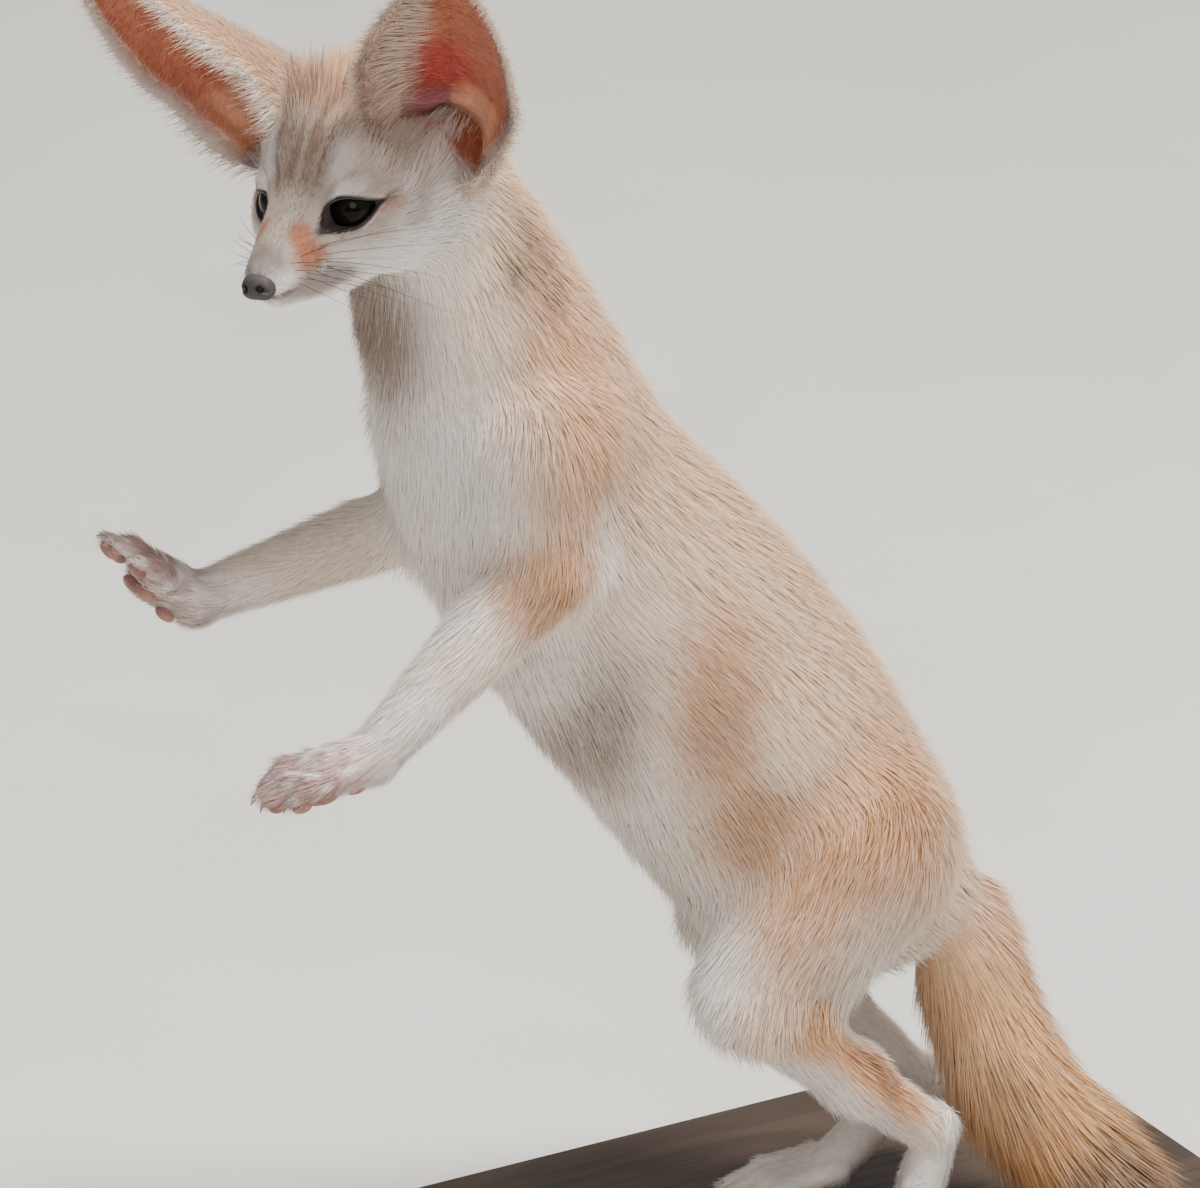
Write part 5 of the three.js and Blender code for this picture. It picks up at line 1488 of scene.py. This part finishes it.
def build_lids(side):
    """The dark bare edge of both lids: a thin roll around the opening, laid on the skin."""
    centre, axes = eye_axes(side)
    inner, outer = EYE["corners"]
    t = (1 - np.cos(np.linspace(0, math.pi, 48))) / 2
    depths = np.linspace(16, 2, 113)
    parts = []
    for up in lid_heights(t):
        aside = inner + (outer - inner) * t
        away = unit(np.stack([aside + 1.4, up], 1))
        seen = np.stack([aside, up], 1) + 0.9 * away
        rays = np.zeros((len(t), len(depths), 3))
        rays[:, :, 0] = depths
        rays[:, :, 1] = side * seen[:, 0:1]
        rays[:, :, 2] = seen[:, 1:2]
        solid = skin_field(centre + rays.reshape(-1, 3) @ axes).reshape(len(t), -1) < 0
        depth = depths[solid.argmax(1)]
        padded = np.pad(depth, 4, mode="edge")
        depth = np.convolve(padded, np.ones(9) / 9, mode="valid") - 0.12
        edge = np.stack([aside, up], 1) + 0.18 * away
        path = np.stack([depth, side * edge[:, 0], edge[:, 1]], 1)
        parts.append(tapered(centre + path @ axes, 0.12 + 0.33 * np.sin(math.pi * t)))
    return joined_meshes(parts)


def lid_material(look):
    """Dark moist skin."""
    material, tree, shader = new_material("lid", Roughness=0.5)
    grain = noise_node(tree, object_place(tree), 1500.0, 2.0)
    dark = dimmed(look.rim, 0.35)
    moist = mix_colour(tree, grain, dark, dimmed(look.rim, 0.8))
    tree.links.new(moist, shader.inputs["Base Color"])
    bump(tree, shader, grain, 0.2, 0.0001)
    return material


def eye_material(look):
    material, tree, shader = new_material("eye", Roughness=0.07)
    shader.inputs["Specular IOR Level"].default_value = 0.12
    disc = attribute(tree, "disc", "Fac")
    streaks = noise_node(tree, object_place(tree), 900.0, 3.0, 0.6)
    brown = mix_colour(tree, streaks, dimmed(look.iris, 0.45), look.iris)
    iris = mix_colour(tree, ranged(tree, disc, 0.085, 0.105), (0.0015, 0.0015, 0.0015), brown)
    ringed = mix_colour(tree, ranged(tree, disc, 0.205, 0.235), iris, (0.006, 0.004, 0.004))
    white = mix_colour(tree, ranged(tree, disc, 0.30, 0.36), ringed, (0.03, 0.02, 0.018))
    tree.links.new(white, shader.inputs["Base Color"])
    return material


def nose_place(p):
    """Places on the head as seen from the nose's own form, which is drawn a little larger and higher."""
    return NOSE_AT + (to_head(p) + (0, 0, NOSE_DROP) - NOSE_AT) / NOSE_SIZE


def nose_field(p):
    q = nose_place(p)
    m = q.copy()
    m[:, 1] = np.abs(m[:, 1])
    d = ellipsoid(q, NOSE_AT, NOSE_RADII)
    d = blend(d, ellipsoid(m, NOSE_AT + (0.3, 3.1, -0.9), (3.6, 2.7, 3.2)), 2.0)
    d = blend(d, ellipsoid(q, NOSE_AT + (-1.5, 0, 1.2), (5.2, 4.8, 3.4)), 2.0)
    nostril = round_cone(m, NOSE_AT + (3.2, 2.5, 0.2), NOSE_AT + (5.4, 3.1, 0.6), 1.15, 1.35)
    wing = round_cone(m, NOSE_AT + (2.6, 5.2, -0.9), NOSE_AT + (4.4, 3.4, 0.2), 0.45, 1.0)
    d = carve(d, np.minimum(nostril, wing), 0.7)
    groove = round_cone(q, NOSE_AT + (5.2, 0, 0.6), NOSE_AT + (4.0, 0, -5.4), 0.35, 0.5)
    return carve(d, groove, 0.5) * NOSE_SIZE


def build_nose(look):
    middle = from_head(NOSE_AT)
    points, triangles = surface_net(nose_field, middle - 9, middle + 9, 0.4)
    points = onto_surface(nose_field, points, 0.3, 3)
    mesh = plain_mesh("nose", points, triangles)
    q = nose_place(points)
    m = np.abs(q[:, 1])
    # Painted shade: the openings of the nostrils darkened almost to black
    nostril_shade = spot(np.stack([q[:, 0], m, q[:, 2]], 1), NOSE_AT + (4.6, 3.0, 0.4), (2.6, 1.7, 1.5))
    tone = np.tile(np.array(look.nose), (len(points), 1))
    tone = mixed(tone, (0.012, 0.010, 0.010), 0.9 * nostril_shade)
    tone = mixed(tone, look.grey, 0.05 * smooth(2.6, 4.6, q[:, 2] - NOSE_AT[2]))
    give(mesh, "tone", "FLOAT_COLOR", "POINT", tone)
    return mesh


def nose_material():
    """Dark moist skin with a fine pebbled grain."""
    material, tree, shader = new_material("nose", Roughness=0.55, Coat_Weight=0.0, Coat_Roughness=0.35)
    shader.inputs["Specular IOR Level"].default_value = 0.22
    tone = attribute(tree, "tone")
    place = object_place(tree)
    pebbles = node_in(tree, "ShaderNodeTexVoronoi", {"Vector": place, "Scale": 2600.0}).outputs["Distance"]
    speck = noise_node(tree, place, 700.0, 2.0)
    darker = mix_colour(tree, 1.0, tone, (0.74, 0.72, 0.72), "MULTIPLY")
    shaded = mix_colour(tree, ranged(tree, speck, 0.35, 0.7, 0.0, 0.45), tone, darker)
    tree.links.new(shaded, shader.inputs["Base Color"])
    bump(tree, shader, maths(tree, "SUBTRACT", 1.0, pebbles), 0.10, 0.0001)
    return material


def whisker_lines(sizes):
    """Each whisker as points in millimetres, rooted on the muzzle and swept back and down."""
    rng = np.random.default_rng(14)
    plan = [(side, row, column) for side in (1, -1) for row in range(4) for column in range(4)]
    ups = (-8.6, -11.2, -13.6, -15.6)
    guesses = [(22.5 - 3.6 * c - 0.8 * r, side * (7 + 1.1 * c), ups[r] + 0.5 * c) for side, r, c in plan]
    roots = onto_surface(skin_field, from_head(np.array(guesses)), 4.0, 5)
    t = np.linspace(0, 1, 9)[:, None]
    lines = []
    for (side, row, column), root in zip(plan, roots):
        length = sizes.whisker_length * (0.45 + 0.14 * column + 0.05 * row) * rng.uniform(0.85, 1.1)
        out = unit(np.array([-0.35 - 0.1 * column, side * (1.0 - 0.08 * row), 0.18 - 0.22 * row])
                   + rng.normal(0, 0.07, 3))
        curl = np.array([-0.55, -side * 0.25, -0.35]) + rng.normal(0, 0.08, 3)
        local = out * t * length + curl * (t**2) * length * 0.45
        lines.append(root - out @ HEAD_AXES * 0.8 + local @ HEAD_AXES)
    return lines


def whisker_tree():
    """Gives each line a round, tapering body."""
    tree = bpy.data.node_groups.new("Whiskers", "GeometryNodeTree")
    tree.is_modifier = True
    face = tree.interface
    face.new_socket("Geometry", in_out="INPUT", socket_type="NodeSocketGeometry")
    for name, kind in (("Radius", "Float"), ("Material", "Material")):
        face.new_socket(name, in_out="INPUT", socket_type="NodeSocket" + kind)
    face.new_socket("Geometry", in_out="OUTPUT", socket_type="NodeSocketGeometry")
    given = tree.nodes.new("NodeGroupInput").outputs
    factor = tree.nodes.new("GeometryNodeSplineParameter").outputs["Factor"]
    taper = node_in(tree, "ShaderNodeMath", {0: factor, 1: 1.3}, operation="POWER").outputs[0]
    left = node_in(tree, "ShaderNodeMath", {0: 1.06, 1: taper}, operation="SUBTRACT").outputs[0]
    radius = node_in(tree, "ShaderNodeMath", {0: left, 1: given["Radius"]}, operation="MULTIPLY").outputs[0]
    circle = node_in(tree, "GeometryNodeCurvePrimitiveCircle", {"Resolution": 5, "Radius": 1.0})
    tube = node_in(tree, "GeometryNodeCurveToMesh", {
        "Curve": given["Geometry"], "Profile Curve": circle.outputs["Curve"],
        "Scale": radius, "Fill Caps": True,
    }).outputs[0]
    real = node_in(tree, "GeometryNodeRealizeInstances", {"Geometry": tube}).outputs[0]
    finished = node_in(tree, "GeometryNodeSetMaterial", {"Geometry": real, "Material": given["Material"]})
    tree.links.new(finished.outputs[0], tree.nodes.new("NodeGroupOutput").inputs[0])
    return tree


def whisker_material():
    """Dark hair, unevenly browned along its length."""
    material, tree, shader = new_material("whisker", Roughness=0.4)
    streaks = noise_node(tree, object_place(tree), 60.0, 2.0)
    browned = mix_colour(tree, streaks, (0.012, 0.010, 0.009), (0.09, 0.07, 0.06))
    tree.links.new(browned, shader.inputs["Base Color"])
    return material


def tapered(path, radii, sides=8):
    """A closed round form along a path of points, with one radius each."""
    path = np.asarray(path, float)
    along = unit(np.gradient(path, axis=0))
    side = unit(np.cross(along[0], (0.3, 0.2, 0.9)))
    points, faces = [], []
    for centre, axis, radius in zip(path, along, radii):
        side = unit(side - axis * (side @ axis))
        other = np.cross(axis, side)
        for k in range(sides):
            a = 2 * math.pi * k / sides
            points.append(centre + radius * (math.cos(a) * side + math.sin(a) * other))
    count = len(path)
    for j in range(count - 1):
        for k in range(sides):
            a, b = j * sides + k, j * sides + (k + 1) % sides
            faces += [(a, b, b + sides), (a, b + sides, a + sides)]
    points += [path[0], path[-1]]
    for k in range(sides):
        n = (k + 1) % sides
        faces.append((n, k, count * sides))
        faces.append(((count - 1) * sides + k, (count - 1) * sides + n, count * sides + 1))
    return np.array(points), np.array(faces)


def joined_meshes(parts):
    points, faces, start = [], [], 0
    for p, f in parts:
        points.append(p)
        faces.append(f + start)
        start += len(p)
    return np.concatenate(points), np.concatenate(faces)


def all_feet():
    for leg in FORE.values():
        yield "fore", leg["paw"]
    for leg in HIND.values():
        yield "hind", leg["foot"]


def claw_forms():
    """Curved claws from the ends of the toes, those of the hind feet kept above the base."""
    out = []
    for kind, foot in all_feet():
        axes = axes_of(np.subtract(foot["tip"], foot["ball"]), foot["up"])
        for _, _, end, tip in toe_lines(foot):
            start = end + (TOE["radius"] - 2.6) * axes[0] + 1.4 * axes[2]
            t = np.linspace(0, 1, 8)[:, None]
            arch = start + (tip - start) * t + axes[2] * 2.0 * (t - t**2) * 1.8
            if kind == "hind":
                arch[:, 2] = np.maximum(arch[:, 2], FLOOR + 0.35)
            radii = CLAW["radius"] * (1 - t[:, 0] ** 1.6) + 0.12
            out.append(tapered(arch, radii))
    return joined_meshes(out)


def claw_material(look):
    """Pale brown horn, darker in patches."""
    material, tree, shader = new_material("claw", Roughness=0.35, Coat_Weight=0.2, Coat_Roughness=0.2)
    grain = noise_node(tree, object_place(tree), 900.0, 3.0, 0.6)
    horn = mix_colour(tree, ranged(tree, grain, 0.3, 0.7), look.claw, dimmed(look.claw, 0.55))
    tree.links.new(horn, shader.inputs["Base Color"])
    bump(tree, shader, grain, 0.2, 0.0002)
    return material


def pad_field_of(foot):
    """The distance to a forepaw's pads."""
    ball, tip = np.array(foot["ball"], float), np.array(foot["tip"], float)
    axes = axes_of(tip - ball, foot["up"])
    toes = toe_lines(foot)

    def field(p):
        q = (p - ball) @ axes.T
        d = ellipsoid(q, (3.4, 0, -5.6), (4.6, 5.6, 2.3))
        d = blend(d, ellipsoid(q, (1.2, 4.2, -5.0), (3.4, 2.6, 2.1)), 1.5)
        d = blend(d, ellipsoid(q, (1.2, -4.2, -5.0), (3.4, 2.6, 2.1)), 1.5)
        d = np.minimum(d, ellipsoid(q, (-8.7, 3.4, -7.0), (3.9, 1.9, 1.9)))
        for _, _, end, _ in toes:
            e = (end - ball) @ axes.T
            d = np.minimum(d, ellipsoid(q, e + (-0.6, 0, -2.0), (3.4, 2.4, 2.1)))
        return d

    return field, ball + (tip - ball) * 0.5


def build_pads():
    out = []
    for leg in FORE.values():
        field, middle = pad_field_of(leg["paw"])
        points, triangles = surface_net(field, middle - 26, middle + 26, 0.8)
        out.append((onto_surface(field, points, 0.5, 2), triangles))
    return joined_meshes(out)


def pad_material(look):
    """Bare pads: pinkish skin with fine creases and darker grain."""
    material, tree, shader = new_material("pad", Roughness=0.6, Sheen_Weight=0.1)
    place = object_place(tree)
    cells = node_in(tree, "ShaderNodeTexVoronoi", {"Vector": place, "Scale": 1300.0}).outputs["Distance"]
    patches = noise_node(tree, place, 180.0, 3.0)
    skin = mix_colour(tree, ranged(tree, patches, 0.35, 0.65), look.pad, dimmed(look.pad, 0.5))
    tree.links.new(skin, shader.inputs["Base Color"])
    bump(tree, shader, maths(tree, "ADD", maths(tree, "SUBTRACT", 1.0, cells), patches), 0.5, 0.0003)
    return material


def wood_material(look):
    """Dark stained wood with a satin finish: growth rings across the board and fine pores along it."""
    material, tree, shader = new_material("stand wood", Roughness=0.45, Coat_Weight=0.08, Coat_Roughness=0.3)
    place = object_place(tree)
    stretched = node_in(tree, "ShaderNodeMapping", {"Vector": place, "Scale": (1.0, 0.12, 1.0)}).outputs[0]
    warp = noise_node(tree, stretched, 22.0, 3.0, 0.55, 0.4)
    rings = maths(tree, "SINE", maths(tree, "MULTIPLY", warp, 70.0))
    drawn_out = node_in(tree, "ShaderNodeMapping", {"Vector": place, "Scale": (1.0, 0.03, 1.0)}).outputs[0]
    grain = noise_node(tree, drawn_out, 900.0, 3.0, 0.6)
    dark = dimmed(look.wood, 0.55)
    board = mix_colour(tree, ranged(tree, rings, -0.6, 1.0, 0.0, 0.55), look.wood, dark)
    pored = mix_colour(tree, ranged(tree, grain, 0.52, 0.70, 0.0, 0.5), board, dark)
    tree.links.new(pored, shader.inputs["Base Color"])
    tree.links.new(ranged(tree, grain, 0.4, 0.7, 0.38, 0.55), shader.inputs["Roughness"])
    bump(tree, shader, maths(tree, "SUBTRACT", rings, maths(tree, "MULTIPLY", grain, 3.0)), 0.12, 0.0003)
    return material


# What a user may change
def colour(name, description, *srgb):
    return FloatVectorProperty(name=name, description=description, subtype="COLOR", size=3, min=0, max=1,
                               default=linear(*srgb))


class FennecColours(bpy.types.PropertyGroup):
    """Colours of the coat and the bare parts"""

    white: colour("White", "Chest, paws, lower legs and cheeks", 250, 247, 244)
    cream: colour("Cream", "Belly and the ground colour of the body", 233, 224, 215)
    sand: colour("Sand", "Sides and back", 226, 190, 154)
    gold: colour("Gold", "Patches on neck, rump, thigh and crown", 212, 158, 106)
    rust: colour("Rust", "Patch in front of the eye and streaks on leg and tail", 188, 112, 66)
    brown: colour("Brown", "Streaks on forehead and neck", 120, 90, 70)
    grey: colour("Grey", "Muzzle top and shaded belly", 176, 163, 154)
    face: colour("Face", "Ground colour of the face", 206, 192, 182)
    tail: colour("Tail", "Brush", 216, 166, 112)
    dark: colour("Tail tip", "Dark end of the brush", 104, 77, 60)
    rim: colour("Eye rim", "Lids, lips and the line at the inner corner", 52, 42, 38)
    lid: colour("Eye corner", "Bare skin of the inner corner", 92, 76, 78)
    lip: colour("Lip", "Line of the mouth", 116, 80, 74)
    pink: colour("Skin", "Skin between the toes", 168, 124, 120)
    iris: colour("Iris", "Eye colour", 30, 26, 20)
    nose: colour("Nose", "Bare skin of the nose", 70, 64, 67)
    claw: colour("Claw", "Horn of the claws", 150, 134, 122)
    pad: colour("Pad", "Pads of the forepaws", 160, 112, 98)
    ear_back: colour("Ear back", "Fur on the back of the ears", 206, 170, 136)
    ear_pink: colour("Ear", "Bare skin inside the ear", 164, 86, 52)
    ear_red: colour("Ear middle", "Redder skin in the middle of the ear", 168, 50, 40)
    ear_deep: colour("Ear cup", "Skin deep in the ear", 150, 82, 86)
    ear_pale: colour("Ear ridge", "Pale ridge in the ear", 186, 120, 134)
    # Painted light on the pouch at the ear's outer edge
    ear_pouch_painted_light: colour("Ear pouch", "Lit skin of the pouch at the outer edge", 226, 160, 124)
    # Painted shade in the opening of the ear canal
    ear_canal_shade: colour("Ear canal", "Opening of the ear", 52, 20, 22)
    wood: colour("Wood", "Stand", 74, 60, 50)
    floor: colour("Floor", "Studio floor", 226, 222, 216)


class FennecSizes(bpy.types.PropertyGroup):
    """Sizes of the coat and of the studio"""

    length: FloatProperty(name="Hair length", description="Factor on the length of the coat",
                          default=1.0, min=0.3, max=2.0)
    thickness: FloatProperty(name="Hair thickness", description="Factor on the width of each hair",
                             default=1.0, min=0.3, max=3.0)
    hairs: IntProperty(name="Hairs", description="Hairs in each full region of the coat",
                       default=46000, min=2000, max=49000)
    whisker_length: FloatProperty(name="Whisker length", description="Longest whiskers, in millimetres",
                                  default=42.0, min=10.0, max=80.0)
    whisker_radius: FloatProperty(name="Whisker radius", description="Radius at the root", default=0.00011,
                                  min=0.00005, max=0.001, subtype="DISTANCE", unit="LENGTH")
    floor_size: FloatProperty(name="Floor size", description="Side of the studio floor",
                              default=14.0, min=2.0, max=40.0, subtype="DISTANCE", unit="LENGTH")
    camera_distance: FloatProperty(name="Camera distance", description="From the middle of the fox",
                                   default=2.6, min=0.5, max=10.0, subtype="DISTANCE", unit="LENGTH")
    lens: FloatProperty(name="Lens", description="Focal length in millimetres",
                        default=251.6, min=20, max=600)


FOX_MIDDLE = (0, -0.065, 0.258)
PHOTO_VIEW = (0.802965, -0.463592, 0.374607)  # from the fox towards the photograph's camera
SENSOR = 36
# Name, place, size and power in watts of each lamp
LAMPS = (
    ("key", (0.9, 0.6, 3.0), 1.1, 186),
    ("front", (2.4, -1.6, 1.6), 1.8, 32),
    ("side", (-2.2, -0.8, 1.6), 1.6, 8),
)
LAMP_COLOUR = (1.0, 0.985, 0.965)
SKY_COLOUR = (1.0, 0.965, 0.92, 1)
SKY_STRENGTH = 0.33


class FENNEC_OT_stage(bpy.types.Operator):
    """Pale floor, soft lights and the camera at the photograph's angle"""

    bl_idname = "fennec.stage"
    bl_label = "Studio"

    def execute(self, context):
        sizes, look = context.scene.fennec_sizes, context.scene.fennec_colours
        half = sizes.floor_size / 2
        floor = bpy.data.meshes.new("studio_floor")
        corners = [(-half, -half, 0), (half, -half, 0), (half, half, 0), (-half, half, 0)]
        floor.from_pydata(corners, [], [(0, 1, 2, 3)])
        material, tree, shader = new_material("studio floor", Roughness=0.9)
        grain = noise_node(tree, object_place(tree), 6.0, 4.0)
        darker = dimmed(look.floor, 0.94)
        pale = mix_colour(tree, ranged(tree, grain, 0.3, 0.7), look.floor, darker)
        tree.links.new(pale, shader.inputs["Base Color"])
        shown("studio_floor", floor, material)
        target, away = Vector(FOX_MIDDLE), Vector(PHOTO_VIEW).normalized()
        camera = bpy.data.objects.new("camera", bpy.data.cameras.new("camera"))
        camera.data.sensor_width = SENSOR
        camera.data.lens = sizes.lens
        camera.data.clip_end = 50
        camera.location = target + away * sizes.camera_distance
        camera.rotation_euler = (-away).to_track_quat("-Z", "Y").to_euler()
        context.scene.collection.objects.link(camera)
        context.scene.camera = camera
        for name, place, size, power in LAMPS:
            lamp = bpy.data.lights.new(name, "AREA")
            lamp.shape = "DISK"
            lamp.size = size
            lamp.energy = power
            lamp.color = LAMP_COLOUR
            obj = bpy.data.objects.new(name, lamp)
            obj.location = place
            obj.rotation_euler = (target - Vector(place)).to_track_quat("-Z", "Y").to_euler()
            context.scene.collection.objects.link(obj)
        world = bpy.data.worlds.new("studio")
        world.use_nodes = True
        ground = world.node_tree.nodes["Background"]
        ground.inputs["Color"].default_value = SKY_COLOUR
        ground.inputs["Strength"].default_value = SKY_STRENGTH
        context.scene.world = world
        return {"FINISHED"}


FEWEST_FACES = 20000  # of a skin that has kept its lids, lips and toes


class FENNEC_OT_skin(bpy.types.Operator):
    """One skin for the whole body, with lids, lips and toes"""

    bl_idname = "fennec.skin"
    bl_label = "Skin"

    def execute(self, context):
        look, sizes = context.scene.fennec_colours, context.scene.fennec_sizes
        obj = shown("skin", build_skin(look, sizes), skin_material("skin"))
        if len(obj.data.polygons) < FEWEST_FACES:
            raise RuntimeError("the skin came out too coarse")
        limbs = ("upper_arm", "forearm", "forepaw", "thigh", "shank", "hind_foot")
        nodes = ["torso", "neck", "head", "tail_upper", "tail_tip"]
        nodes += [f"{part}_{side}" for side in ("left", "right") for part in limbs]
        settle(obj, "coat", *nodes)
        return {"FINISHED"}


class FENNEC_OT_coat(bpy.types.Operator):
    """Hair over the skin, one piece for each region"""

    bl_idname = "fennec.coat"
    bl_label = "Coat"

    def execute(self, context):
        sizes = context.scene.fennec_sizes
        skin = bpy.data.objects.get("skin")
        if skin is None:
            raise RuntimeError("make the skin before its coat")
        tree = coat_tree()
        spike = shown("hair", spike_mesh())
        material = coat_material("coat", context.scene.fennec_colours)
        for seed, (name, (share, scatter, soften)) in enumerate(COAT_PLAN.items(), COAT_SEED):
            grow_coat("coat_" + name, skin, REGIONS.index(name), tree, spike, sizes.hairs * share,
                      seed, material, scatter, soften)
        bpy.data.objects.remove(spike)
        return {"FINISHED"}


class FENNEC_OT_ears(bpy.types.Operator):
    """The two ears with their cups, fringes and fur"""

    bl_idname = "fennec.ears"
    bl_label = "Ears"

    def execute(self, context):
        look, sizes = context.scene.fennec_colours, context.scene.fennec_sizes
        material, hair_material = ear_material(), coat_material("ear hair", look, (0.90, 0.86, 0.83))
        tree = coat_tree()
        spike = shown("ear_hair", spike_mesh())
        for seed, (name, side) in enumerate((("left", 1), ("right", -1)), EAR_SEED):
            ear = shown("ear_skin_" + name, ear_mesh(side, look), material)
            for region, share in EAR_SHARES.items():
                grow_coat(f"ear_{region}_{name}", ear, EAR_REGIONS[region], tree, spike, sizes.hairs * share,
                          seed, hair_material, EAR_SCATTER, 0.0)
            settle(ear, "ear", "ear_" + name)
        bpy.data.objects.remove(spike)
        return {"FINISHED"}


class FENNEC_OT_eyes(bpy.types.Operator):
    """Dark glossy eyes set behind the lids"""

    bl_idname = "fennec.eyes"
    bl_label = "Eyes"

    def execute(self, context):
        look = context.scene.fennec_colours
        material, dark = eye_material(look), lid_material(look)
        for name, side in (("left", 1), ("right", -1)):
            settle(shown("eyeball_" + name, eye_mesh(side), material), "eye", "eye_" + name)
            settle(shown("lids_" + name, plain_mesh("lids", *build_lids(side)), dark), "eye")
        return {"FINISHED"}


class FENNEC_OT_nose(bpy.types.Operator):
    """The bare nose with its nostrils"""

    bl_idname = "fennec.nose"
    bl_label = "Nose"

    def execute(self, context):
        settle(shown("nose_skin", build_nose(context.scene.fennec_colours), nose_material()), "nose", "nose")
        return {"FINISHED"}


class FENNEC_OT_whiskers(bpy.types.Operator):
    """Fine dark whiskers on both sides of the muzzle"""

    bl_idname = "fennec.whiskers"
    bl_label = "Whiskers"

    def execute(self, context):
        sizes = context.scene.fennec_sizes
        curve = bpy.data.curves.new("whisker_lines", "CURVE")
        curve.dimensions = "3D"
        for line in whisker_lines(sizes):
            spline = curve.splines.new("POLY")
            spline.points.add(len(line) - 1)
            for point, place in zip(spline.points, line * MM):
                point.co = (*place, 1)
        lines = shown("whisker_lines", curve)
        values = {"Radius": sizes.whisker_radius, "Material": whisker_material()}
        mesh = made_by_tree("whiskers", lines, whisker_tree(), values)
        bpy.data.objects.remove(lines)
        settle(shown("whiskers", mesh), "nose")
        return {"FINISHED"}


class FENNEC_OT_claws(bpy.types.Operator):
    """Claws of the four feet and pads of the forepaws"""

    bl_idname = "fennec.claws"
    bl_label = "Claws and pads"

    def execute(self, context):
        look = context.scene.fennec_colours
        settle(shown("claws", plain_mesh("claws", *claw_forms()), claw_material(look)), "nose")
        settle(shown("pads", plain_mesh("pads", *build_pads()), pad_material(look)), "nose")
        return {"FINISHED"}


class FENNEC_OT_stand(bpy.types.Operator):
    """Wood grain on the stand"""

    bl_idname = "fennec.stand"
    bl_label = "Stand"

    def execute(self, context):
        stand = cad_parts["stand_base"]
        stand.data.materials.clear()
        stand.data.materials.append(wood_material(context.scene.fennec_colours))
        return {"FINISHED"}


OPERATORS = (
    FENNEC_OT_stage, FENNEC_OT_stand, FENNEC_OT_skin, FENNEC_OT_coat, FENNEC_OT_ears, FENNEC_OT_eyes,
    FENNEC_OT_nose, FENNEC_OT_whiskers, FENNEC_OT_claws,
)


class FENNEC_PT_panel(bpy.types.Panel):
    """Steps of the model and what may be changed"""

    bl_idname = "FENNEC_PT_panel"
    bl_label = "Fennec fox"
    bl_space_type = "VIEW_3D"
    bl_region_type = "UI"
    bl_category = "Fennec fox"

    def draw(self, context):
        for group in (context.scene.fennec_sizes, context.scene.fennec_colours):
            box = self.layout.box()
            for name in group.bl_rna.properties.keys():
                if name not in ("rna_type", "name"):
                    box.prop(group, name)
        for step in OPERATORS:
            self.layout.operator(step.bl_idname)


CLASSES = (FennecColours, FennecSizes, *OPERATORS, FENNEC_PT_panel)


def register():
    for kind in CLASSES:
        bpy.utils.register_class(kind)
    bpy.types.Scene.fennec_colours = PointerProperty(type=FennecColours)
    bpy.types.Scene.fennec_sizes = PointerProperty(type=FennecSizes)


def unregister():
    del bpy.types.Scene.fennec_sizes
    del bpy.types.Scene.fennec_colours
    for kind in reversed(CLASSES):
        bpy.utils.unregister_class(kind)


def main():
    register()
    for step in OPERATORS:
        group, name = step.bl_idname.split(".")
        getattr(getattr(bpy.ops, group), name)()


if __name__ == "__main__":
    main()
